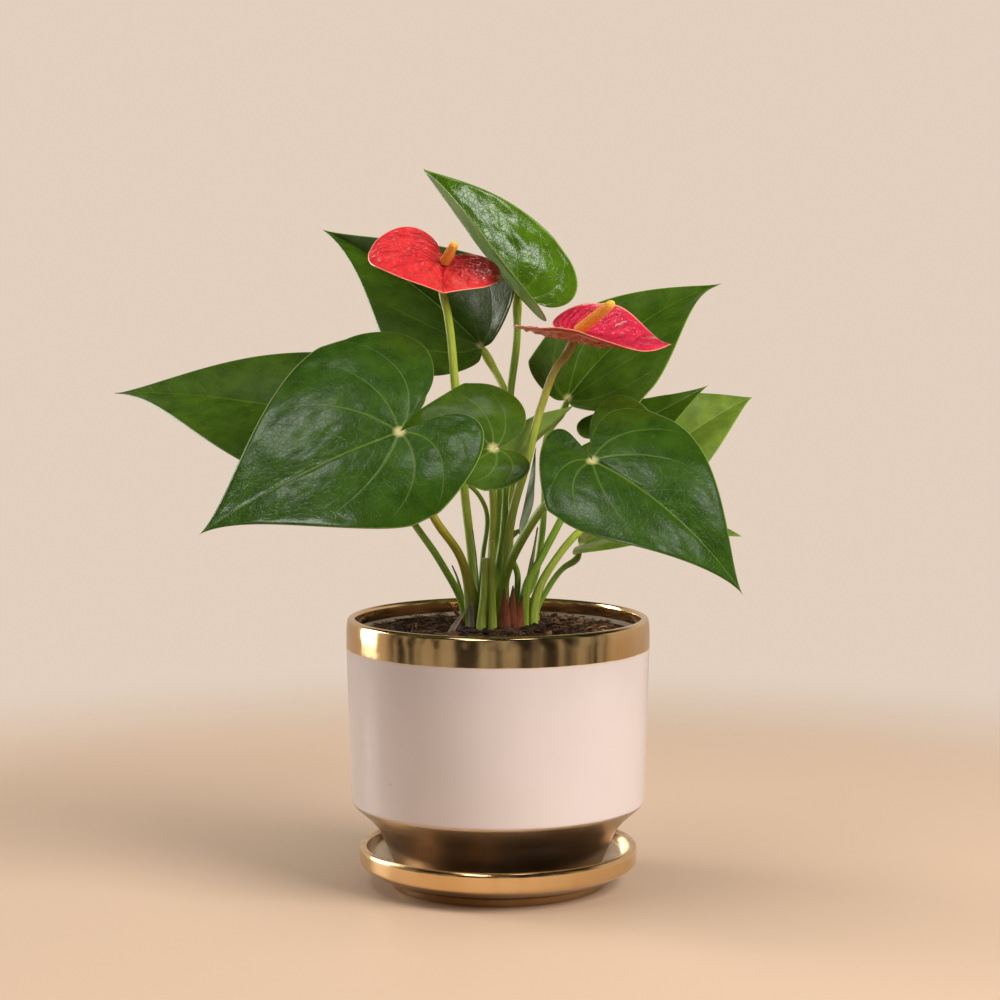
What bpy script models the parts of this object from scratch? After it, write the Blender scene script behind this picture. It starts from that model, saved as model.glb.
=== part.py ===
"""A potted anthurium: heart-shaped leaves, two red flowers and their stems in a glazed pot on a saucer.

Origin at the middle of the saucer's underside, +Z up, the big left leaf towards -X and -Y.
Every size below is in millimetres or degrees; MM turns the finished meshes into metres.
"""

import bpy
import numpy as np

MM = 0.001
GAP = 0.3  # clearance between pieces that touch

# Saucer
SAUCER_INSET = 5.0  # how much smaller its radius is than the pot's
SAUCER_HEIGHT = 17.0
SAUCER_RIM = 3.2  # thickness of the rim
SAUCER_BAND = 8.6  # height of the upright outer band
SAUCER_FOOT_IN = 12.5
SAUCER_FLOOR = 5.0

# Pot
POT_RADIUS = 63.5
POT_HEIGHT = 108.0
POT_WALL = 4.0
POT_TAPER = 1.8  # how much the white body narrows towards its corner
POT_LIP = 4.2  # width of the rounded lip
POT_BAND = 12.4  # height of the metallic band
POT_CORNER_UP = 29.5  # from the pot's underside to the top of the chamfered corner
POT_CORNER_DROP = 5.2
POT_CORNER_IN = 6.5
POT_NECK_UP = 15.5
POT_NECK_IN = 14.8
POT_FOOT_IN = 21.0
POT_FLOOR = 7.0
POT_RECESS = 2.0
DRAIN_RADIUS = 6.0

# Soil and crown
SOIL_BELOW_RIM = 7.6  # at the wall
SOIL_RISE = 2.2  # from the wall to the middle
CROWN_RADIUS = 20.0  # before PLANT_SCALE
CROWN_HEIGHT = 2.0

# Plant
PLANT_SCALE = 1.0
BLADE_THICKNESS = 0.6
SPATHE_THICKNESS = 0.8
CURL = 22.0  # a half blade turns down by this from midrib to margin
WAVE = 0.7  # height of the margin's waves
WIDEST = 0.12  # share of the length at which a blade is widest
APPROACH = 5.0  # the last stretch of a stem, where it turns to meet its blade
SCALE_THICKNESS = 0.5
TIP_SHARE = 0.2  # width left at a scale's tip

ROUND_STEPS = 52
STEM_SIDES = 8
STEM_STEPS = 9
LOBE_STEPS = 8
SIDE_STEPS = 7
RINGS = (0.34, 0.68, 1.0)

POT_NECK_RADIUS = POT_RADIUS - POT_NECK_IN
POT_FOOT_RADIUS = POT_RADIUS - POT_FOOT_IN
SAUCER_RADIUS = POT_RADIUS - SAUCER_INSET
SAUCER_FOOT_RADIUS = SAUCER_RADIUS - SAUCER_FOOT_IN
POT_UNDERSIDE = SAUCER_FLOOR + GAP
RIM_TOP = POT_UNDERSIDE + POT_HEIGHT
SOIL_EDGE = RIM_TOP - SOIL_BELOW_RIM
SOIL_TOP = SOIL_EDGE + SOIL_RISE
CROWN_TOP = SOIL_TOP + GAP + CROWN_HEIGHT

# Lobe outline, from the notch round to the widest point: (share of half width, share of length)
LOBE = (
    (0.07, -0.12),
    (0.17, -0.22),
    (0.36, -0.285),
    (0.6, -0.28),
    (0.82, -0.19),
    (0.96, -0.04),
    (1, WIDEST),
)


def blade(at, turn, size, lobes, droop, fold, shape, curl=CURL):
    """Sizes of one blade. at: x, y and height above the crown. turn: heading, pitch and roll.
    size: length, left and right half widths. lobes: left and right lobe lengths as a share of LOBE's.
    droop: of the tip and of the lobes. fold: of the left and right halves.
    shape: roundness, tip sharpness, sideways sweep of the tip and of the lobes.
    curl: how far each half turns down from midrib to margin; below zero it is a bowl."""
    return dict(
        at=at, turn=turn, size=size, lobes=lobes, droop=droop, fold=fold, shape=shape, curl=curl
    )


BLADES = {
    "leaf_1": blade(
        at=(-39.4, -45.3, 83.2), turn=(198, -18, 52), size=(90, 40, 56.5),
        lobes=(1.2, 1.07), droop=(20, -16), fold=(-4, -10),
        shape=(1.58, 1.5, -0.05, 0.28),
    ),
    "leaf_2": blade(
        at=(-57.5, -1.3, 83), turn=(158, 13, 33), size=(120, 47, 38),
        lobes=(0.6, 0.6), droop=(15, 0), fold=(6, 9),
        shape=(1.74, 1.5, -0.05, 0),
    ),
    "leaf_3": blade(
        at=(-7.2, 27.5, 114.6), turn=(130, 34, 50), size=(105, 37.5, 34),
        lobes=(0.37, 0.2), droop=(-6, 0), fold=(32, 34),
        shape=(1.3, 1.23, -0.17, -0.04),
    ),
    "leaf_4": blade(
        at=(8, 13, 137.5), turn=(157, 49, 59), size=(71, 29.5, 26.7),
        lobes=(0.93, 0.82), droop=(12, 0), fold=(84, 8),
        shape=(1.8, 1.13, 0.05, 0.13),
    ),
    "leaf_5": blade(
        at=(30, 36.4, 91.8), turn=(42, 45, -36), size=(100, 26, 40),
        lobes=(0.2, 0.2), droop=(22, 1), fold=(40, 31),
        shape=(1.58, 1.32, 0.22, 0),
    ),
    "leaf_6": blade(
        at=(42, 25.2, 75.5), turn=(10, 19, -40), size=(54, 13, 24),
        lobes=(0.4, 1.1), droop=(-8, 3), fold=(11, 10),
        shape=(1.63, 1.35, -0.07, -0.03),
    ),
    "leaf_7": blade(
        at=(61, 38, 59), turn=(20, 39, -40), size=(66.5, 28.5, 23.5),
        lobes=(0.5, 0.5), droop=(23, 0), fold=(15, 15),
        shape=(1.89, 1.27, 0.02, 0),
    ),
    "leaf_8": blade(
        at=(37.9, -43.8, 71.2), turn=(-38, -18, -29), size=(85, 37, 30.7),
        lobes=(0.73, 1.04), droop=(36, -3), fold=(6, -13),
        shape=(1.77, 1.5, 0.08, -0.68),
    ),
    "leaf_9": blade(
        at=(-2, -20.3, 74.5), turn=(195, -1, 53), size=(57, 20, 32),
        lobes=(0.83, 0.97), droop=(4, -2), fold=(1, 2),
        shape=(1.2, 1.33, 0.12, 0.05),
    ),
    "leaf_10": blade(
        at=(5.6, 0.5, 70), turn=(12, 40, 50), size=(34, 10, 11),
        lobes=(0.25, 0.25), droop=(5, 0), fold=(20, 20),
        shape=(1.7, 1.2, 0, 0),
    ),
    "leaf_11": blade(
        at=(8.8, 1, 38.5), turn=(180, 104, 0), size=(36, 9, 9),
        lobes=(0.15, 0.15), droop=(5, 0), fold=(18, 18),
        shape=(1.8, 1.2, 0, 0),
    ),
    "leaf_12": blade(
        at=(34.4, 14.4, 31), turn=(-15, 16.5, -14), size=(70, 22, 14),
        lobes=(0.06, 0.06), droop=(24, -1), fold=(5, 0),
        shape=(2, 0.95, 0.02, 0),
    ),
}
SPATHES = {
    "flower_1": blade(
        at=(-22.7, 5, 149.6), turn=(-98, -42, 29), size=(24.5, 25, 31.5),
        lobes=(1, 2.05), droop=(-30, 18), fold=(20, -12),
        shape=(1.75, 1.03, 0, 0),
    ),
    "flower_2": blade(
        at=(33.2, 0, 120.8), turn=(-16, -8.5, -19), size=(40, 22, 23.5),
        lobes=(1.15, 2.15), droop=(-6, 23), fold=(21, 27),
        shape=(1.97, 1.02, 0, 0.06), curl=-92,
    ),
}
# Spadix: length, radius at the foot and at the tip, lean towards the spathe's tip
SPADICES = {"flower_1": (13.5, 2.2, 1.7, -0.1), "flower_2": (20.5, 2.3, 1.6, 0.95)}

# Stems: foot on the crown, points passed on the way up (x, y, height above the crown), radii below and above
PETIOLES = {
    "leaf_1": ((-10.5, -9), ((-15, -14, 28), (-26, -28, 47)), 1.9, 1.6),
    "leaf_2": ((-14, -3), ((-24, -3, 26), (-35, -2, 42), (-49, 0, 64)), 1.6, 1.3),
    "leaf_3": ((-4, 8), ((-1, 10, 35), (1, 13, 60), (4, 20, 92)), 1.7, 1.5),
    "leaf_4": ((-3, 1.5), ((2, 5, 34), (4, 9, 67), (5, 11, 94), (8, 13, 120)), 1.8, 1.5),
    "leaf_5": (
        (9, 9),
        ((15, 12, 16), (18.5, 18, 34), (20, 28, 58), (21, 35, 76)),
        1.5, 1.2,
    ),
    "leaf_6": ((10.5, -8), ((12, -5, 16), (18, 2, 27), (26, 12, 41)), 1.7, 1.4),
    "leaf_7": ((14.5, -2), ((17, 0, 14), (24, 3, 26), (34, 9, 37), (51, 24, 43)), 1.7, 1.4),
    "leaf_8": ((0, -10), ((4, -17, 24), (11, -28, 40), (20, -38, 54)), 1.9, 1.7),
    "leaf_9": ((-3.5, -4.5), ((-3, -6, 27), (-2, -8, 44)), 1.6, 1.4),
    "leaf_10": ((2.5, 1.5), ((5.4, 3.2, 34), (5.6, 2.2, 55)), 1.2, 1.0),
    "leaf_11": ((7, -3), ((8.2, -1, 20),), 1.4, 1.1),
    "leaf_12": ((16, 4.5), ((20.5, 7.5, 12.5), (27.5, 11.5, 21.5)), 1.3, 1.1),
}
STALKS = {
    "flower_1": (
        (-10, 3),
        ((-11, 3, 26), (-14, 3, 54), (-16.5, 3, 81), (-18, 3, 100), (-20.5, 4, 126)),
        1.9, 1.7,
    ),
    "flower_2": (
        (2, -5.5),
        ((3, -8, 24), (6.5, -9, 49), (11.5, -8, 66), (18, -5, 91), (25.5, -2.2, 109)),
        1.9, 1.6,
    ),
}
# Stems with nothing on top: foot, points passed, radii; the last point is the end
BARE_STEMS = {
    "cut_stub_1": ((-2.3, -15.2), ((-2.4, -15.2, 20), (-2.5, -14.8, 37.5)), 1.6, 1.3),
    "cut_stub_2": ((-6.8, -14), ((-5.8, -15, 15), (-5.2, -15.5, 30)), 1.8, 1.4),
    "arching_stem": ((-8.5, 8.5), ((-6.5, 13, 25), (-5.6, 12, 48), (-9, 10, 54), (-14, 8, 58.5)), 1.1, 0.9),
}
# Sheaths and scales: foot (x, y), facing, lean at the foot and tip, length, width, arc
SCALES = {
    "cataphyll_1": ((2.4, -16), -95, (-4, 6), 16, 3.8, 80),
    "cataphyll_2": ((6.4, -15.5), -80, (-6, 4), 17, 3.8, 80),
    "cataphyll_3": ((10.2, -13.6), -60, (-8, 16), 13, 3.6, 80),
    "dry_sheath": ((-19.5, -18.5), 42, (38, 50), 13, 4, 70),
    "red_scale": ((-15.4, -8), 215, (20, 48), 12, 4.4, 90),
    "dark_scale": ((-11.6, -13.2), 235, (-8, 6), 12, 4, 90),
    "sheath_left": ((-14.6, 3), 190, (0, 22), 24, 5.6, 110),
    "sheath_green": ((4, 9.8), 60, (-4, 4), 42, 4.4, 130),
    "sheath_pale": ((10.8, 2.2), 20, (10, 8), 40, 6.5, 110),
    "sheath_slender": ((-9.4, -2.6), 200, (-4, 8), 39, 3.6, 120),
}

COLOURS = {
    "white_glaze": ((0.74, 0.58, 0.51), 0.18, 0.0),
    "gold_glaze": ((0.72, 0.44, 0.17), 0.13, 1.0),
    "soil": ((0.045, 0.026, 0.018), 0.95, 0.0),
    "crown": ((0.16, 0.1, 0.05), 0.8, 0.0),
    "dark_leaf": ((0.03, 0.105, 0.028), 0.3, 0.0),
    "bright_leaf": ((0.07, 0.2, 0.025), 0.28, 0.0),
    "pale_leaf": ((0.16, 0.3, 0.05), 0.35, 0.0),
    "stem": ((0.2, 0.3, 0.045), 0.4, 0.0),
    "red_stem": ((0.24, 0.12, 0.04), 0.4, 0.0),
    "spathe": ((0.68, 0.03, 0.035), 0.2, 0.0),
    "spadix": ((0.82, 0.3, 0.05), 0.55, 0.0),
    "papery": ((0.3, 0.1, 0.045), 0.7, 0.0),
    "dry": ((0.32, 0.23, 0.14), 0.85, 0.0),
}
BRIGHT = ("leaf_4", "leaf_9", "leaf_3", "leaf_5")
PALE = ("leaf_7", "leaf_10")
PAPERY = ("cataphyll_1", "cataphyll_2", "cataphyll_3", "red_scale")
DRY = ("dry_sheath", "dark_scale")


def clear_scene():
    for item in list(bpy.data.objects):
        bpy.data.objects.remove(item)


def material(name):
    """The named colour, roughness and metallic as one shared Principled material."""
    made = bpy.data.materials.get(name)
    if made:
        return made
    colour, roughness, metallic = COLOURS[name]
    made = bpy.data.materials.new(name)
    made.use_nodes = True
    shader = made.node_tree.nodes["Principled BSDF"]
    shader.inputs["Base Color"].default_value = (*colour, 1)
    shader.inputs["Roughness"].default_value = roughness
    shader.inputs["Metallic"].default_value = metallic
    made.diffuse_color = (*colour, 1)
    return made


def add_object(name, points, faces, colour):
    mesh = bpy.data.meshes.new(name)
    mesh.from_pydata((np.asarray(points) * MM).tolist(), [], faces)
    mesh.shade_smooth()
    mesh.materials.append(material(colour))
    made = bpy.data.objects.new(name, mesh)
    bpy.context.collection.objects.link(made)
    return made


def unit(vector):
    return vector / np.linalg.norm(vector)


def curve_through(points, count):
    """A smooth curve through the points, as count points evenly spaced along it."""
    points = np.asarray(points, float)
    steps = np.linalg.norm(np.diff(points, axis=0), axis=1)
    knots = np.concatenate([[0], np.cumsum(steps)])
    slopes = np.gradient(points, knots, axis=0)
    at = np.linspace(0, knots[-1], count)
    start = np.clip(np.searchsorted(knots, at, side="right") - 1, 0, len(steps) - 1)
    step = steps[start][:, None]
    t = (at - knots[start])[:, None] / step
    rise = points[start + 1] - points[start]
    bend = (slopes[start] * step - rise) * (1 - t) - (slopes[start + 1] * step - rise) * t
    return points[start] + rise * t + t * (1 - t) * bend


def turned(name, profile, colour):
    """A solid of revolution. The profile is a closed loop of (radius, height), down the outside first."""
    angles = np.linspace(0, 2 * np.pi, ROUND_STEPS, endpoint=False)
    points, rows = [], []
    for radius, height in profile:
        if radius == 0:
            rows.append([len(points)] * ROUND_STEPS)
            points.append((0, 0, height))
            continue
        rows.append(list(range(len(points), len(points) + ROUND_STEPS)))
        points += [(radius * np.cos(a), radius * np.sin(a), height) for a in angles]
    faces = []
    pairs = list(zip(rows, rows[1:] + rows[:1]))
    if profile[0][0] == 0:
        pairs.pop()
    for upper, lower in pairs:
        for i in range(ROUND_STEPS):
            j = (i + 1) % ROUND_STEPS
            face = [upper[i], lower[i], lower[j], upper[j]]
            faces.append(list(dict.fromkeys(face)))
    return add_object(name, points, faces, colour)


def pot_inside():
    """The inner wall, from the rim down to the drain hole's edge."""
    inner = POT_RADIUS - POT_LIP
    return [
        (inner, RIM_TOP - POT_BAND / 2),
        (inner - POT_TAPER, POT_UNDERSIDE + POT_CORNER_UP + POT_WALL),
        (
            POT_RADIUS - POT_TAPER - POT_CORNER_IN - POT_WALL,
            POT_UNDERSIDE + POT_CORNER_UP - POT_CORNER_DROP + POT_WALL,
        ),
        (POT_NECK_RADIUS - POT_WALL, POT_UNDERSIDE + POT_NECK_UP),
        (POT_FOOT_RADIUS - POT_WALL, POT_UNDERSIDE + POT_FLOOR),
    ]


def build_pot():
    body = POT_RADIUS - POT_TAPER
    lip_middle = POT_RADIUS - 0.5 * POT_LIP
    corner = POT_UNDERSIDE + POT_CORNER_UP
    profile = [
        (lip_middle, RIM_TOP),
        (POT_RADIUS - 0.3 * POT_LIP, RIM_TOP - 0.3),
        (POT_RADIUS - 0.07 * POT_LIP, RIM_TOP - 1.8),
        (POT_RADIUS, RIM_TOP - 0.35 * POT_BAND),
        (POT_RADIUS, RIM_TOP - POT_BAND),
        (body, corner + 1.2),
        (body - 0.1 * POT_CORNER_IN, corner),
        (body - 0.5 * POT_CORNER_IN, corner - 0.62 * POT_CORNER_DROP),
        (body - POT_CORNER_IN, corner - POT_CORNER_DROP),
        (POT_NECK_RADIUS + 2.2, POT_UNDERSIDE + 0.5 * (POT_NECK_UP + POT_CORNER_UP - POT_CORNER_DROP)),
        (POT_NECK_RADIUS, POT_UNDERSIDE + POT_NECK_UP),
        (POT_FOOT_RADIUS + 1.5, POT_UNDERSIDE + 0.3 * POT_NECK_UP),
        (POT_FOOT_RADIUS, POT_UNDERSIDE),
        (POT_FOOT_RADIUS - POT_WALL, POT_UNDERSIDE),
        (POT_FOOT_RADIUS - POT_WALL - POT_RECESS, POT_UNDERSIDE + POT_RECESS),
        (DRAIN_RADIUS, POT_UNDERSIDE + POT_RECESS),
        (DRAIN_RADIUS, POT_UNDERSIDE + POT_FLOOR),
    ]
    profile += pot_inside()[::-1]
    profile.append((POT_RADIUS - 0.93 * POT_LIP, RIM_TOP - 1.6))
    profile.append((POT_RADIUS - 0.75 * POT_LIP, RIM_TOP - 0.3))
    return turned("pot", profile, "white_glaze")


def build_saucer():
    band_foot = SAUCER_HEIGHT - SAUCER_BAND
    profile = [
        (0, SAUCER_FLOOR),
        (SAUCER_FOOT_RADIUS - 1, SAUCER_FLOOR),
        (SAUCER_FOOT_RADIUS + 4, SAUCER_FLOOR + 2.2),
        (SAUCER_RADIUS - SAUCER_RIM - 1, SAUCER_FLOOR + 6),
        (SAUCER_RADIUS - SAUCER_RIM, SAUCER_HEIGHT - 0.6),
        (SAUCER_RADIUS - 0.7 * SAUCER_RIM, SAUCER_HEIGHT),
        (SAUCER_RADIUS - 0.3 * SAUCER_RIM, SAUCER_HEIGHT - 0.3),
        (SAUCER_RADIUS, SAUCER_HEIGHT - 1.6),
        (SAUCER_RADIUS - 0.2, band_foot + 1.2),
        (SAUCER_RADIUS - 1.5, band_foot),
        (SAUCER_FOOT_RADIUS + 5, SAUCER_FLOOR),
        (SAUCER_FOOT_RADIUS, 0.7 * SAUCER_FLOOR),
        (SAUCER_FOOT_RADIUS - 1, 0),
        (0, 0),
    ]
    return turned("saucer", profile, "gold_glaze")


def build_soil():
    wall = [(radius - GAP, height + GAP) for radius, height in pot_inside()]
    top_edge = wall[0][0]
    profile = [
        (0, SOIL_TOP),
        (CROWN_RADIUS * PLANT_SCALE + 4, SOIL_TOP),
        (0.7 * top_edge, SOIL_TOP - 0.3 * SOIL_RISE),
        (top_edge, SOIL_EDGE),
    ]
    profile += wall[1:] + [(0, wall[-1][1])]
    return turned("soil", profile, "soil")


def build_crown():
    foot = SOIL_TOP + GAP
    radius = CROWN_RADIUS * PLANT_SCALE
    profile = [
        (0, CROWN_TOP),
        (radius - 1.2, CROWN_TOP),
        (radius, foot + 0.4 * CROWN_HEIGHT),
        (radius - 0.6, foot),
        (0, foot),
    ]
    return turned("crown", profile, "crown")


def blade_axes(sizes):
    """Across, along and upper-face directions of a blade at its petiole."""
    heading, pitch, roll = np.radians(sizes["turn"])
    along = np.array([np.cos(pitch) * np.cos(heading), np.cos(pitch) * np.sin(heading), np.sin(pitch)])
    level = np.array([np.sin(heading), -np.cos(heading), 0])
    upright = np.cross(level, along)
    across = np.cos(roll) * level + np.sin(roll) * upright
    return across, along, np.cross(across, along)


def on_plant(point):
    """A point given as x, y and height above the crown, in millimetres in the world."""
    x, y, height = point
    return np.array([x * PLANT_SCALE, y * PLANT_SCALE, CROWN_TOP + GAP + height * PLANT_SCALE])


def half_outline(sizes, side):
    """One half of the flat outline, from the sinus round the lobe to the tip."""
    length, left, right = sizes["size"]
    half_width = right if side > 0 else left
    lobe_length = sizes["lobes"][1 if side > 0 else 0]
    roundness, sharpness, _, lean = sizes["shape"]
    lobe = curve_through(LOBE, LOBE_STEPS)
    rest = 1 - (1 - np.linspace(0, 1, SIDE_STEPS + 1)[1:]) ** 1.3
    x = np.concatenate([lobe[:, 0], (1 - rest**roundness) ** sharpness]) * half_width * side
    y = np.concatenate([lobe[:, 1], WIDEST + (1 - WIDEST) * rest]) * length
    behind = np.minimum(y, 0) * lobe_length
    return np.stack([x - behind * lean, np.where(y < 0, behind, y)], axis=1)


def bent(sizes, flat):
    """Flat blade points (x across, y along) folded, waved, drooped and put in place, in millimetres."""
    length, left, right = sizes["size"]
    x, y = flat[..., 0], flat[..., 1]
    share = np.abs(x) / np.where(x > 0, right, left)
    fold = np.radians(np.where(x > 0, sizes["fold"][1], sizes["fold"][0]))
    curl = np.radians(sizes["curl"])
    middle = fold + curl * (0.5 - 0.5 * share)
    sideways = x * np.cos(middle)
    upwards = np.abs(x) * np.sin(middle) + WAVE * share**2 * np.sin(9 * y / length + 2 * np.sign(x))
    bend = np.radians(np.where(y > 0, -sizes["droop"][0], sizes["droop"][1])) / length
    bend = np.where(np.abs(bend) < 1e-6, 1e-6, bend)
    forward = np.sin(bend * y) / bend - upwards * np.sin(bend * y)
    rise = (1 - np.cos(bend * y)) / bend + upwards * np.cos(bend * y)
    sideways = sideways + sizes["shape"][2] * length * np.maximum(y / length, 0) ** 2
    across, along, upper = blade_axes(sizes)
    local = sideways[..., None] * across + forward[..., None] * along + rise[..., None] * upper
    return on_plant(sizes["at"]) + PLANT_SCALE * local


def thick_sheet(name, points, faces, rim, thickness, colour):
    """A closed solid: the sheet's points moved both ways along their normals, joined round the rim."""
    points = np.asarray(points)
    normals = np.zeros_like(points)
    for face in faces:
        corners = points[face]
        normal = np.cross(corners[1] - corners[0], corners[2] - corners[0])
        normal = normal + np.cross(corners[-2] - corners[0], corners[-1] - corners[0])
        for index in face:
            normals[index] += normal
    normals /= np.linalg.norm(normals, axis=1)[:, None]
    count = len(points)
    solid = [list(face) for face in faces]
    solid += [[index + count for index in reversed(face)] for face in faces]
    for i, start in enumerate(rim):
        end = rim[(i + 1) % len(rim)]
        solid.append([start, start + count, end + count, end])
    shifted = np.vstack([points + normals * thickness / 2, points - normals * thickness / 2])
    return add_object(name, shifted, solid, colour)


def build_blade(name, sizes, thickness, colour):
    """A blade as a fan of rings from the petiole out to the outline."""
    left = half_outline(sizes, -1)
    outline = np.vstack([half_outline(sizes, 1), left[-2::-1]])
    flat = np.vstack([[[0, 0]]] + [outline * ring for ring in RINGS])
    width = len(outline)
    faces = [[0, 1 + i, 2 + i] for i in range(width - 1)]
    for ring in range(len(RINGS) - 1):
        first = 1 + ring * width
        faces += [
            [first + i, first + width + i, first + width + i + 1, first + i + 1]
            for i in range(width - 1)
        ]
    last = 1 + (len(RINGS) - 1) * width
    rim = [0] + [1 + ring * width for ring in range(len(RINGS) - 1)] + list(range(last, last + width))
    rim += [width + ring * width for ring in reversed(range(len(RINGS) - 1))]
    return thick_sheet(name, bent(sizes, flat), faces, rim, thickness, colour)


def tube(name, path, radii, start_normal, end_normal, colour, tip_shares=(1.0,)):
    """A tapered round rod along a path. The end rings lie square to the given normals."""
    normals = np.gradient(path, axis=0)
    normals[0], normals[-1] = start_normal, end_normal
    angles = np.linspace(0, 2 * np.pi, STEM_SIDES, endpoint=False)[:, None]
    side = np.array([1.0, 0.1, 0.0])
    rings = []
    for centre, normal, radius in zip(path, normals, radii):
        normal = unit(normal)
        side = unit(side - side.dot(normal) * normal)
        other = np.cross(normal, side)
        rings.append(centre + radius * (np.cos(angles) * side + np.sin(angles) * other))
    faces = []
    for ring in range(len(rings) - 1):
        low, high = ring * STEM_SIDES, (ring + 1) * STEM_SIDES
        for i in range(STEM_SIDES):
            j = (i + 1) % STEM_SIDES
            faces.append([low + i, low + j, high + j, high + i])
    faces.append(list(reversed(range(STEM_SIDES))))
    faces.append(list(range((len(rings) - 1) * STEM_SIDES, len(rings) * STEM_SIDES)))
    return add_object(name, np.vstack(rings), faces, colour)


def build_stem(name, foot, passed, low, high, colour, sizes=None, thickness=0):
    """A stem from the crown. With a blade's sizes it ends a gap below that blade, square to it."""
    points = [on_plant((*foot, 0)), on_plant((*foot, 3))] + [on_plant(point) for point in passed]
    normal = unit(points[-1] - points[-2])
    if sizes:
        normal = blade_axes(sizes)[2]
        fold_down = max(0, -np.sin(np.radians(min(sizes["fold"]))))
        below = thickness / 2 + GAP + 1.3 * high * fold_down
        end = on_plant(sizes["at"]) - below * normal
        points += [end - APPROACH * PLANT_SCALE * unit(normal + unit(end - points[-1])), end]
    path = curve_through(points, STEM_STEPS + len(points))
    radii = np.linspace(low, high, len(path)) * PLANT_SCALE
    return tube(name, path, radii, np.array([0, 0, 1.0]), normal, colour)


def build_spadix(name, sizes, length, low, high, lean):
    """A finger standing square on the spathe, rounded at its tip."""
    normal = blade_axes(sizes)[2]
    steepest = max(0, *sizes["fold"]) + max(0, sizes["curl"] / 2)
    lift = SPATHE_THICKNESS / 2 + GAP + 1.2 * low * np.sin(np.radians(steepest))
    shares = np.array([0, 0.25, 0.5, 0.75, 0.92, 1])
    swell = np.array([0.92, 1, 0.97, 0.9, 0.66, 0.25])
    heading = unit(normal + lean * blade_axes(sizes)[1])
    path = on_plant(sizes["at"]) + normal * lift + heading * shares[:, None] * length * PLANT_SCALE
    radii = swell * (low + (high - low) * shares) * PLANT_SCALE
    return tube(name, path, radii, normal, heading, "spadix")


def standing(foot):
    """Where a sheath stands: on the crown, or just over the soil beyond it."""
    point = on_plant((*foot, 0))
    if np.hypot(*foot) > CROWN_RADIUS:
        point[2] = SOIL_TOP + 2 * GAP
    return point


def build_scale(name, foot, facing, lean, length, width, arc, colour):
    """A pointed sheath, curved across, standing on its foot and leaning the way it faces."""
    along_steps, across_steps = 6, 5
    share = np.linspace(0, 1, along_steps)
    tilt = np.radians(lean[0] + (lean[1] - lean[0]) * share)
    facing = np.radians(facing)
    outward_level = np.array([np.cos(facing), np.sin(facing), 0])
    sideways = np.array([-np.sin(facing), np.cos(facing), 0])
    up = np.array([0, 0, 1.0])
    step = length * PLANT_SCALE / (along_steps - 1)
    heading = np.sin(tilt)[:, None] * outward_level + np.cos(tilt)[:, None] * up
    middle = standing(foot) + SCALE_THICKNESS * 0.5 * up
    middle = middle + np.vstack([np.zeros(3), np.cumsum(heading[:-1] + heading[1:], axis=0) * step / 2])
    outer = np.cos(tilt)[:, None] * outward_level - np.sin(tilt)[:, None] * up
    half = 0.5 * width * PLANT_SCALE * (TIP_SHARE + (1 - TIP_SHARE) * (1 - share**1.7))
    angle = np.radians(arc / 2) * np.linspace(-1, 1, across_steps)
    bow = half / np.radians(arc / 2)
    grid = middle[:, None] + (bow[:, None] * np.sin(angle))[..., None] * sideways
    grid = grid + (bow[:, None] * (np.cos(angle) - 1))[..., None] * outer[:, None]
    faces, n = [], across_steps
    for i in range(along_steps - 1):
        faces += [[i * n + j, i * n + j + 1, (i + 1) * n + j + 1, (i + 1) * n + j] for j in range(n - 1)]
    last = (along_steps - 1) * n
    rim = list(range(n)) + [i * n + n - 1 for i in range(1, along_steps)]
    rim += list(range(last + n - 2, last - 1, -1)) + [i * n for i in range(along_steps - 2, 0, -1)]
    return thick_sheet(name, grid.reshape(-1, 3), faces, rim, SCALE_THICKNESS, colour)


def leaf_colour(name):
    if name in BRIGHT:
        return "bright_leaf"
    return "pale_leaf" if name in PALE else "dark_leaf"


def scale_colour(name):
    if name in PAPERY:
        return "papery"
    return "dry" if name in DRY else "stem"


def main():
    clear_scene()
    build_saucer()
    build_pot()
    build_soil()
    build_crown()
    for name, sizes in BLADES.items():
        build_blade(name, sizes, BLADE_THICKNESS, leaf_colour(name))
        colour = "red_stem" if name == "leaf_1" else "stem"
        build_stem(name.replace("leaf", "petiole"), *PETIOLES[name], colour, sizes, BLADE_THICKNESS)
    for name, sizes in SPATHES.items():
        build_blade(name + "_spathe", sizes, SPATHE_THICKNESS, "spathe")
        build_spadix(name + "_spadix", sizes, *SPADICES[name])
        build_stem(name + "_stalk", *STALKS[name], "stem", sizes, SPATHE_THICKNESS)
    for name, numbers in BARE_STEMS.items():
        build_stem(name, *numbers, "stem")
    for name, numbers in SCALES.items():
        build_scale(name, *numbers, scale_colour(name))


main()
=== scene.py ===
"""Looks of a potted anthurium, as an add-on that is run as a script.

Sizes in tables are in millimetres and degrees; everything becomes metres when a mesh is made.
"""

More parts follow.
